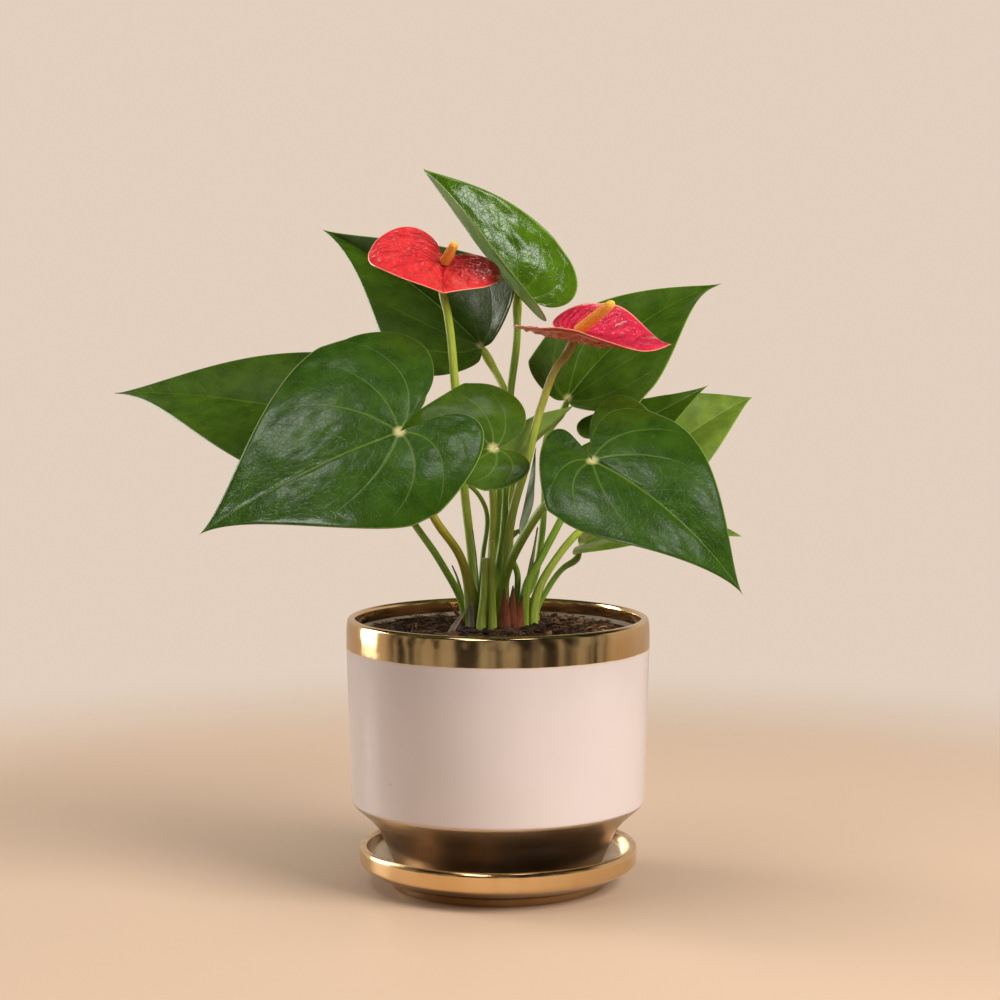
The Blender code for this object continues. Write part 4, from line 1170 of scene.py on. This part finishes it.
class ANTHURIUM_OT_soil(bpy.types.Operator):
    """Fills the pot with crumbly soil and strews fibres and bark on it"""

    bl_idname = "anthurium.soil"
    bl_label = "Soil"

    def execute(self, context):
        s = context.scene.anthurium_soil
        edge, bottom, top = SOIL_BOX[1].x / MM, SOIL_BOX[0].z / MM, SOIL_BOX[1].z / MM
        rows = np.linspace(0, edge, TOP_ROWS)
        bed = bed_level(rows, edge, top)
        under = np.array([
            (edge, bed[-1] - 2), (edge - 1.8, 40), (edge - 8, 34), (edge - 15, 22), (34, bottom), (0, bottom),
        ])
        profile = np.vstack([np.stack([rows, bed], axis=1), filled(under, 6, closed=False)])

        def bump(grid):
            flat = grid[..., :2]
            inner = 1 - ease(np.hypot(flat[..., 0], flat[..., 1]), edge - 2.5, edge - 0.2)
            raised = s.lumps / MM * soil_height(flat) * inner
            grid[:TOP_ROWS, :, 2] += raised[:TOP_ROWS]
            return grid

        turned("soil_bed", profile, soil_look(), "soil", steps=300, bump=bump)
        draw = np.random.default_rng(11)
        self.fibres(s, draw, edge, top)
        self.chips(s, draw, edge, top)
        return {"FINISHED"}

    def places(self, s, draw, count, edge, top):
        """Random spots on the soil round the crown, on the crumbs."""
        reach = np.sqrt(draw.uniform(15.0**2, (edge - 2.5) ** 2, count))
        turn = draw.uniform(0, 2 * np.pi, count)
        spot = np.stack([reach * np.cos(turn), reach * np.sin(turn)], axis=1)
        height = bed_level(reach, edge, top) + s.lumps / MM * soil_height(spot)
        return np.column_stack([spot, height])

    def fibres(self, s, draw, edge, top):
        """Each fibre is a four-sided tube along an arc that lies on the soil and lifts in its middle."""
        count, rings = s.fibres, 8
        centre = self.places(s, draw, count, edge, top)
        heading = draw.uniform(0, 2 * np.pi, count)[:, None]
        curl = draw.normal(0, 1.4, count)[:, None]
        long = draw.uniform(2.5, 11, count)[:, None]
        t = np.linspace(-0.5, 0.5, rings)
        turn = heading + curl * t
        run = np.stack([np.cos(turn), np.sin(turn), 0 * turn], axis=-1) * (long / (rings - 1))[..., None]
        path = np.cumsum(run, axis=1)
        path -= path[:, rings // 2: rings // 2 + 1]
        path += centre[:, None]
        arch = draw.uniform(-0.2, 2.4, count)[:, None] * (1 - (2 * t) ** 2)
        arch = arch * draw.choice([0.3, 1], (count, 1))
        tilt = draw.normal(0, 0.22, count)[:, None] * long * t
        path[..., 2] += 0.35 + arch + np.abs(tilt)
        reach = np.hypot(path[..., 0], path[..., 1])
        path[..., :2] *= np.minimum(1, (edge - 1.2) / reach)[..., None]
        radius = draw.uniform(0.09, 0.3, count)[:, None] * np.array([0.45, 0.9, 1, 1, 1, 1, 0.85, 0.3])
        side = np.stack([-np.sin(turn), np.cos(turn), 0 * turn], axis=-1)
        up = np.array([0, 0, 1.0])
        corners = np.array([[1, 0], [0, 1], [-1, 0], [0, -1]])
        rim = corners[:, :1] * side[:, :, None] + corners[:, 1:] * up
        grid = path[:, :, None] + radius[..., None, None] * rim
        index = np.arange(count * rings * 4).reshape(count, rings, 4)
        quads = np.concatenate([litter_quads(index), index[:, 0, ::-1], index[:, -1]])
        tone = np.repeat(np.clip(draw.beta(1.1, 2.2, count), 0, 1), rings * 4)
        look = litter_look("coir fibres", (0.035, 0.016, 0.009), (0.6, 0.34, 0.17), 0.75)
        add_piece("soil_fibres", grid.reshape(-1, 3), quads, look, (), {"tone": tone})

    def chips(self, s, draw, edge, top):
        """Each chip is a small ball, pushed out of round by random amounts and squashed."""
        count, rings, sides = s.chips, 5, 6
        centre = self.places(s, draw, count, edge, top)
        size = draw.gamma(2.2, 0.55, (count, 1)) * draw.uniform(0.5, 1.4, (count, 3))
        size = np.minimum(size * [1.25, 0.8, 0.5] + 0.25, 3.4)
        lift = np.linspace(-np.pi / 2, np.pi / 2, rings)
        turn = np.linspace(0, 2 * np.pi, sides, endpoint=False)
        ball = np.stack([
            np.cos(lift)[:, None] * np.cos(turn), np.cos(lift)[:, None] * np.sin(turn),
            np.repeat(np.sin(lift)[:, None], sides, axis=1),
        ], axis=-1)
        rough = 1 + draw.uniform(-0.3, 0.3, (count, rings, sides, 1))
        rough[:, [0, -1]] = rough[:, [0, -1], :1]
        grid = ball * rough * size[:, None, None]
        spin = draw.uniform(0, 2 * np.pi, count)[:, None, None]
        tip = draw.normal(0, 0.5, count)[:, None, None]
        x, y, z = np.moveaxis(grid, -1, 0)
        x, z = x * np.cos(tip) - z * np.sin(tip), x * np.sin(tip) + z * np.cos(tip)
        grid = np.stack([x * np.cos(spin) - y * np.sin(spin), x * np.sin(spin) + y * np.cos(spin), z], -1)
        grid = grid + centre[:, None, None]
        index = np.arange(count * rings * sides).reshape(count, rings, sides)
        index[:, 0] = index[:, 0, :1]
        index[:, -1] = index[:, -1, :1]
        tone = np.repeat(np.clip(draw.beta(1.0, 2.6, count), 0, 1), rings * sides)
        look = litter_look("bark chips", (0.018, 0.009, 0.006), (0.5, 0.26, 0.14), 0.7)
        points, quads, values = used_points(grid.reshape(-1, 3), litter_quads(index), {"tone": tone})
        add_piece("bark_chips", points, quads, look, (), values, smooth=False)


class ANTHURIUM_OT_crown(bpy.types.Operator):
    """Makes the knobbly crown that the stems grow from"""

    bl_idname = "anthurium.crown"
    bl_label = "Crown"

    def execute(self, context):
        radius, low, high = CROWN_BOX[1].x / MM, CROWN_BOX[0].z / MM, CROWN_BOX[1].z / MM
        profile = [(x, high) for x in np.linspace(0, radius - 1.2, CROWN_ROWS)]
        profile += [(radius - 0.2, high - 0.6), (radius, low + 0.8), (radius - 0.6, low), (0, low)]

        def bump(grid):
            flat = grid[:CROWN_ROWS, :, :2]
            knobs = np.abs(lattice_noise(flat, 5.2, 21)) * 1.5 + lattice_noise(flat, 1.9, 22) * 0.5
            grid[:CROWN_ROWS, :, 2] += knobs - 0.7
            return grid

        turned("crown_bark", profile, crown_look(), "crown", steps=180, bump=bump)
        return {"FINISHED"}


class ANTHURIUM_OT_leaves(bpy.types.Operator):
    """Makes every leaf blade as a thin double skin with veins, quilting and puckers"""

    bl_idname = "anthurium.leaves"
    bl_label = "Leaves"

    def execute(self, context):
        s = context.scene.anthurium_leaf
        looks = {
            "dark": leaf_look("dark", s.dark, 0.27, 0.21),
            "mid": leaf_look("green", s.mid, 0.27, 0.28, shine=0.32),
            "bright": leaf_look("bright", s.bright, 0.3, 0.13),
            "pale": leaf_look("pale", s.pale, 0.6, 0.38, patch=(0.32, 0.24, 0.06)),
        }
        slots = dict.fromkeys(("leaf_3", "leaf_4", "leaf_5", "leaf_9"), "bright_leaf")
        slots.update(dict.fromkeys(("leaf_7", "leaf_10"), "pale_leaf"))
        for number, (name, sizes) in enumerate(BLADES.items()):
            rings, steps = (64, 130) if sizes["size"][0] > 60 else (40, 90)
            blade_sheet(
                name + "_blade", sizes, s.thickness / MM, leaf_relief(s, sizes, 40 + 7 * number),
                rings, steps, looks[sizes["look"]], name,
            )
        return {"FINISHED"}


class ANTHURIUM_OT_flowers(bpy.types.Operator):
    """Makes the two spathes with blisters and furrows, and their beaded spadices"""

    bl_idname = "anthurium.flowers"
    bl_label = "Flowers"

    def execute(self, context):
        s = context.scene.anthurium_flower
        looks = {
            "coral": spathe_look("coral", s.coral, (0.6, 0.05, 0.025)),
            "crimson": spathe_look("crimson", s.crimson, (0.62, 0.05, 0.02)),
        }
        for number, (name, sizes) in enumerate(SPATHES.items()):
            blade_sheet(
                name + "_spathe_skin", sizes, s.thickness / MM, spathe_relief(s, 90 + 5 * number),
                60, 130, looks[sizes["look"]], name + "_spathe",
            )
            self.spadix(name, sizes, s, *SPADICES[name])
        return {"FINISHED"}

    def spadix(self, name, sizes, s, long, low, high, lean, look):
        """A finger of beads in crossing spirals: the bead height is the product of two cosines, of
        angle plus and minus height."""
        _, along_axis, normal = blade_axes(sizes)
        heading = unit(normal + lean * along_axis)
        rings, sides = 150, 144
        t = np.linspace(0, 1, rings)
        steepest = max(0, *sizes["fold"]) + max(0, sizes["curl"] / 2)
        lift = 0.4 + 0.3 + 1.2 * low * np.sin(np.radians(steepest))
        path = on_plant(sizes["at"]) + normal * (lift - 0.6) + heading * (t * (long + 0.5))[:, None]
        end = np.sqrt(np.clip(1 - (np.clip(t - 0.86, 0, 1) / 0.142) ** 2, 0.02, 1))
        radius = (low + (high - low) * t) * end * (0.93 + 0.07 * np.sin(np.pi * t))
        angles = np.linspace(0, 2 * np.pi, sides, endpoint=False)
        pitch = np.pi * long * t[:, None] / 1.05
        bead = np.abs(np.cos(BEAD_ROWS * angles + pitch) * np.cos(BEAD_ROWS * angles - pitch)) ** 0.7
        radii = radius[:, None] + s.bead / MM * (bead - 0.3) * np.sqrt(end)[:, None]
        grid = tube_grid(path, radii, normal if lean < 0 else heading, heading, sides)
        points, quads = closed_tube(grid)
        values = np.stack([
            np.concatenate([bead.ravel(), [0, 1]]), np.concatenate([np.repeat(t, sides), [0, 1]]),
            np.zeros(rings * sides + 2),
        ], axis=1)
        tone = np.array(s.spadix)
        finish = spadix_look(look, tone if look == "yellow" else tone * [0.95, 0.9, 0.9])
        made = name + "_spadix"
        add_piece(made + "_beads", points, quads, finish, (made,), {"spadix": values})


class ANTHURIUM_OT_stems(bpy.types.Operator):
    """Makes the petioles, flower stalks and cut stems"""

    bl_idname = "anthurium.stems"
    bl_label = "Stems"

    def execute(self, context):
        s = context.scene.anthurium_stem
        green, lime, red, amber = (np.array(c) for c in (s.green, s.lime, s.red, s.amber))
        looks = {
            "green": stem_look("green", green, green * [1.5, 1.3, 1.4], green * [1.3, 1.15, 1.2]),
            "lime": stem_look("lime", lime, lime * [1.1, 1.05, 1.2], lime * [1.0, 0.95, 0.9]),
            "red": stem_look("red", green * [1.6, 0.85, 1.0], green * [0.9, 0.9, 0.9], red),
            "amber": stem_look("amber", lime * [0.8, 0.8, 0.8], green * 0.9, amber),
        }
        for name, (foot, passed, low, high, look) in PETIOLES.items():
            stem(
                name.replace("leaf", "petiole"), foot, passed, low, high, looks[look], BLADES[name],
                flare=FLARES.get(name, 0.0),
            )
        for name, (foot, passed, low, high, look) in STALKS.items():
            stem(name + "_stalk", foot, passed, low, high, looks[look], SPATHES[name], 0.7)
        for name, (foot, passed, low, high, look) in BARE_STEMS.items():
            stem(name, foot, passed, low, high, looks[look], cut=name.startswith("cut"))
        return {"FINISHED"}


class ANTHURIUM_OT_sheaths(bpy.types.Operator):
    """Makes the sheaths and papery scales round the crown"""

    bl_idname = "anthurium.sheaths"
    bl_label = "Sheaths"

    def execute(self, context):
        s = context.scene.anthurium_stem
        green = np.array(s.green)
        looks = {
            name: sheath_look(name, *tones, rough) for name, rough, *tones in (
                ("papery", 0.62, s.papery, (0.34, 0.17, 0.1), (0.12, 0.05, 0.03)),
                ("dry", 0.8, s.dry, (0.33, 0.26, 0.19), (0.14, 0.1, 0.07)),
                ("green", 0.45, green * 0.9, green * [1.6, 1.4, 1.4], (0.09, 0.05, 0.03)),
                ("blush", 0.45, green * [1.5, 1.35, 1.6], (0.4, 0.22, 0.13), (0.3, 0.14, 0.09)),
            )
        }
        for number, (name, (foot, facing, lean, long, width, arc, look)) in enumerate(SHEATHS.items()):
            slot = look if look in ("papery", "dry") else "stem"
            self.sheath(name, foot, facing, lean, long, width, arc, looks[look], number, slot)
        return {"FINISHED"}

    def sheath(self, name, foot, facing, lean, long, width, arc, look, seed, slot):
        """A pointed sheath: an arc carried up a leaning line, narrowing as one less the share to the power
        1.7, with fibres as fine ripples across it and a ragged top."""
        rows, columns, thick = 44, 22, 0.42
        share_up = np.linspace(0, 1, rows)
        tilt = np.radians(lean[0] + (lean[1] - lean[0]) * share_up)
        facing = np.radians(facing)
        outward = np.array([np.cos(facing), np.sin(facing), 0])
        sideways = np.array([-np.sin(facing), np.cos(facing), 0])
        up = np.array([0, 0, 1.0])
        heading = np.sin(tilt)[:, None] * outward + np.cos(tilt)[:, None] * up
        start = on_plant((*foot, 0)) + 0.05 * up
        if np.hypot(*foot) > CROWN_BOX[1].x / MM:
            start[2] = SOIL_BOX[1].z / MM + 0.4
        climb = np.cumsum(heading[:-1] + heading[1:], axis=0) * long / (rows - 1) / 2
        middle = start + np.vstack([np.zeros(3), climb])
        outer = np.cos(tilt)[:, None] * outward - np.sin(tilt)[:, None] * up
        half = 0.5 * width * (0.07 + 0.93 * (1 - share_up**1.7))
        across = np.linspace(-1, 1, columns)
        angle = np.radians(arc / 2) * across
        bow = (half / np.radians(arc / 2))[:, None, None]
        ripple = 0.06 * np.cos(11 * angle) + 0.12 * lattice_noise(
            np.stack(np.broadcast_arrays(across * 3, share_up[:, None] * long * 0.25), -1), 0.8, 60 + seed)
        grid = middle[:, None] + bow * np.sin(angle)[:, None] * sideways
        grid = grid + (bow[..., 0] * (np.cos(angle) - 1) + ripple)[..., None] * outer[:, None]
        ragged = 0.5 * lattice_noise(np.stack([across * 4, 0 * across], -1), 0.7, 80 + seed)
        grid = grid + (ragged * ease(share_up, 0.7, 1)[:, None])[..., None] * heading[:, None]
        normal = unit(np.cross(np.gradient(grid, axis=1), np.gradient(grid, axis=0)))
        edge = np.minimum(1 - np.abs(across), 0.25) / 0.25
        half_thick = 0.5 * thick * (0.25 + 0.75 * np.sqrt(edge))[None, :, None]
        skins = np.concatenate([(grid + normal * half_thick), (grid - normal * half_thick)[:, ::-1]], axis=1)
        points, quads = closed_tube_flat(skins)
        flat = np.concatenate([across, across[::-1]])
        values = np.stack([
            np.concatenate([np.tile(flat, rows), [0, 0]]),
            np.concatenate([np.repeat(share_up, 2 * columns), [0, 1]]), np.zeros(rows * columns * 2 + 2),
        ], axis=1)
        add_piece(name + "_skin", points, quads, look, (name,), {"sheath": values})


def closed_tube_flat(skins):
    """A flattened tube of two skins, closed at each end by a strip of quads between them."""
    rows, columns = skins.shape[:2]
    index = np.arange(rows * columns).reshape(rows, columns)
    half = columns // 2
    sides = grid_faces(index, around=True)
    ends = []
    for row, flip in ((index[0], False), (index[-1], True)):
        strip = grid_faces(np.stack([row[:half], row[:half - 1:-1]]))
        ends.append(strip[:, ::-1] if flip else strip)
    points = np.concatenate([skins.reshape(-1, 3), skins[0, :1], skins[-1, :1]])
    return points, np.concatenate([sides] + ends)


class ANTHURIUM_OT_stage(bpy.types.Operator):
    """Sets up the pale floor, the soft lights and the camera"""

    bl_idname = "anthurium.stage"
    bl_label = "Stage"

    def execute(self, context):
        s = context.scene.anthurium_stage
        self.floor(s)
        self.surroundings(s)
        middle = (0, 0, 0.12)
        self.light("window", (-1.2, 0.5, 0.4), middle, (0.5, 1.0), s.window, (1.0, 0.97, 0.94), True)
        self.light("key", (1.0, -0.75, 0.95), middle, (0.9, 0.9), s.key, (1.0, 0.95, 0.9), False)
        self.light("top", (-0.35, -0.1, 1.5), middle, (0.9, 0.9), s.key * 0.38, (1.0, 0.97, 0.94), False)
        self.camera(context)
        context.scene.view_settings.view_transform = "Standard"
        return {"FINISHED"}

    def floor(self, s):
        """A disc whose edge melts into the backdrop."""
        reach, sides, under = np.array(FLOOR_RINGS), 96, 0.02
        angles = np.linspace(0, 2 * np.pi, sides, endpoint=False)
        level = np.full((len(reach), sides), -under)
        grid = np.stack([reach[:, None] * np.cos(angles), reach[:, None] * np.sin(angles), level], axis=-1)
        index = np.arange(len(reach) * sides).reshape(-1, sides)
        index[0] = 0
        mesh = bpy.data.meshes.new("floor")
        faces = [list(dict.fromkeys(quad)) for quad in grid_faces(index, around=True).tolist()]
        mesh.from_pydata((grid.reshape(-1, 3) * MM).tolist(), [], faces)
        made = bpy.data.objects.new("floor", mesh)
        look, g, feed, bump = new_look("floor", 0.5, Specular_IOR_Level=0.3)
        place = g.object_place()
        x, y, _ = g.parts(place)
        away = g.hypot(x, y)
        base = np.array(s.floor)
        feed("Base Color", g.mix(g.noise(place, 8, 3), base * 0.985, np.minimum(base * 1.015, 1)))
        feed("Alpha", g.between(away, 0.3, 0.6, 1, 0))
        bump(g.noise(place, 300, 3), 0.0002, 0.1)
        mesh.materials.append(look)
        bpy.context.scene.collection.objects.link(made)

    def surroundings(self, s):
        """The backdrop is plain. Matt surfaces are lit evenly. Glossy ones mirror a dim studio: a pale wall
        behind, a dark room with a few upright shapes in front, and the soft PANELS overhead."""
        world = bpy.data.worlds.new("studio")
        bpy.context.scene.world = world
        world.use_nodes = True
        tree = world.node_tree
        tree.nodes.clear()
        g = Graph(tree)
        way = g.add("ShaderNodeTexCoord").outputs["Generated"]
        x, y, z = g.parts(way)
        shapes = g.noise(g.stretched(way, (1, 1, 0.16)), 4.2, 3, 0.6)
        room = g.mix(g.between(shapes, 0.44, 0.6), (0.02, 0.016, 0.012), (0.36, 0.31, 0.24))
        room = g.mix(g.between(z, 0.2, 0.5), room, (0.018, 0.018, 0.015))
        wall = g.mix(g.between(z, -0.25, 0.35), (0.5, 0.38, 0.28), (0.6, 0.52, 0.45))
        behind = g.times(g.between(y, -0.12, 0.12), g.between(z, 0.62, 0.36))
        room = g.mix(behind, room, wall)
        lift = g.math("MAXIMUM", z, 0.05)
        left, ahead = g.math("DIVIDE", x, lift), g.math("DIVIDE", y, lift)
        panels = 0.0
        for across, along, reach, share_lit in PANELS:
            dx, dy = g.minus(left, across), g.minus(ahead, along)
            gap = g.hypot(dx, dy)
            panels = g.math("MAXIMUM", panels, g.between(gap, reach, 0.6 * reach, 0, share_lit))
        room = g.mix(g.times(panels, g.between(z, 0.1, 0.2)), room, PANEL_LIGHT)
        path = g.add("ShaderNodeLightPath").outputs
        plain = g.add("ShaderNodeBackground", {"Color": (*s.backdrop, 1), "Strength": 1.0}).outputs[0]
        even = g.add("ShaderNodeBackground", {"Color": (1.0, 0.95, 0.9, 1), "Strength": s.fill}).outputs[0]
        mirrored = g.add("ShaderNodeBackground", {"Color": room, "Strength": 1.0}).outputs[0]
        lit = g.add("ShaderNodeMixShader", {0: path["Is Glossy Ray"], 1: even, 2: mirrored}).outputs[0]
        both = g.add("ShaderNodeMixShader", {0: path["Is Camera Ray"], 1: lit, 2: plain}).outputs[0]
        g.add("ShaderNodeOutputWorld", {"Surface": both})

    def light(self, name, place, target, size, power, tint, mirrored):
        """A rectangular lamp that faces its target. Glossy faces show it only if it is mirrored."""
        lamp = bpy.data.lights.new(name, "AREA")
        lamp.shape, lamp.size, lamp.size_y, lamp.energy, lamp.color = "RECTANGLE", *size, power, tint
        made = bpy.data.objects.new(name, lamp)
        made.location = place
        made.visible_glossy = mirrored
        away = np.array(place) - np.array(target)
        made.rotation_euler = (np.arccos(away[2] / np.linalg.norm(away)), 0, np.arctan2(away[0], -away[1]))
        bpy.context.scene.collection.objects.link(made)

    def camera(self, context):
        lens = bpy.data.cameras.new("camera")
        lens.lens, lens.sensor_width, lens.shift_x = 95.4, 36, 0.002
        made = bpy.data.objects.new("camera", lens)
        made.location = (0, -1.1016, 0.26493)
        made.rotation_euler = (np.radians(84.666), 0, 0)
        context.scene.collection.objects.link(made)
        context.scene.camera = made


OPERATORS = (
    ANTHURIUM_OT_saucer, ANTHURIUM_OT_pot, ANTHURIUM_OT_soil, ANTHURIUM_OT_crown, ANTHURIUM_OT_leaves,
    ANTHURIUM_OT_stems, ANTHURIUM_OT_flowers, ANTHURIUM_OT_sheaths, ANTHURIUM_OT_stage,
)


class VIEW3D_PT_anthurium(bpy.types.Panel):
    bl_label = "Potted anthurium"
    bl_idname = "VIEW3D_PT_anthurium"
    bl_space_type = "VIEW_3D"
    bl_region_type = "UI"
    bl_category = "Anthurium"

    def draw(self, context):
        for operator in OPERATORS:
            self.layout.operator(operator.bl_idname)
        for name, group in GROUPS.items():
            box = self.layout.box()
            for field in group.__annotations__:
                box.prop(getattr(context.scene, name), field)


CLASSES = (*GROUPS.values(), *OPERATORS, VIEW3D_PT_anthurium)


def register():
    for item in CLASSES:
        bpy.utils.register_class(item)
    for name, group in GROUPS.items():
        setattr(bpy.types.Scene, name, PointerProperty(type=group))


def unregister():
    for name in GROUPS:
        delattr(bpy.types.Scene, name)
    for item in reversed(CLASSES):
        bpy.utils.unregister_class(item)


def main():
    register()
    for operator in OPERATORS:
        family, name = operator.bl_idname.split(".")
        if getattr(getattr(bpy.ops, family), name)() != {"FINISHED"}:
            raise RuntimeError(f"{operator.bl_label} didn't finish")


if __name__ == "__main__":
    main()
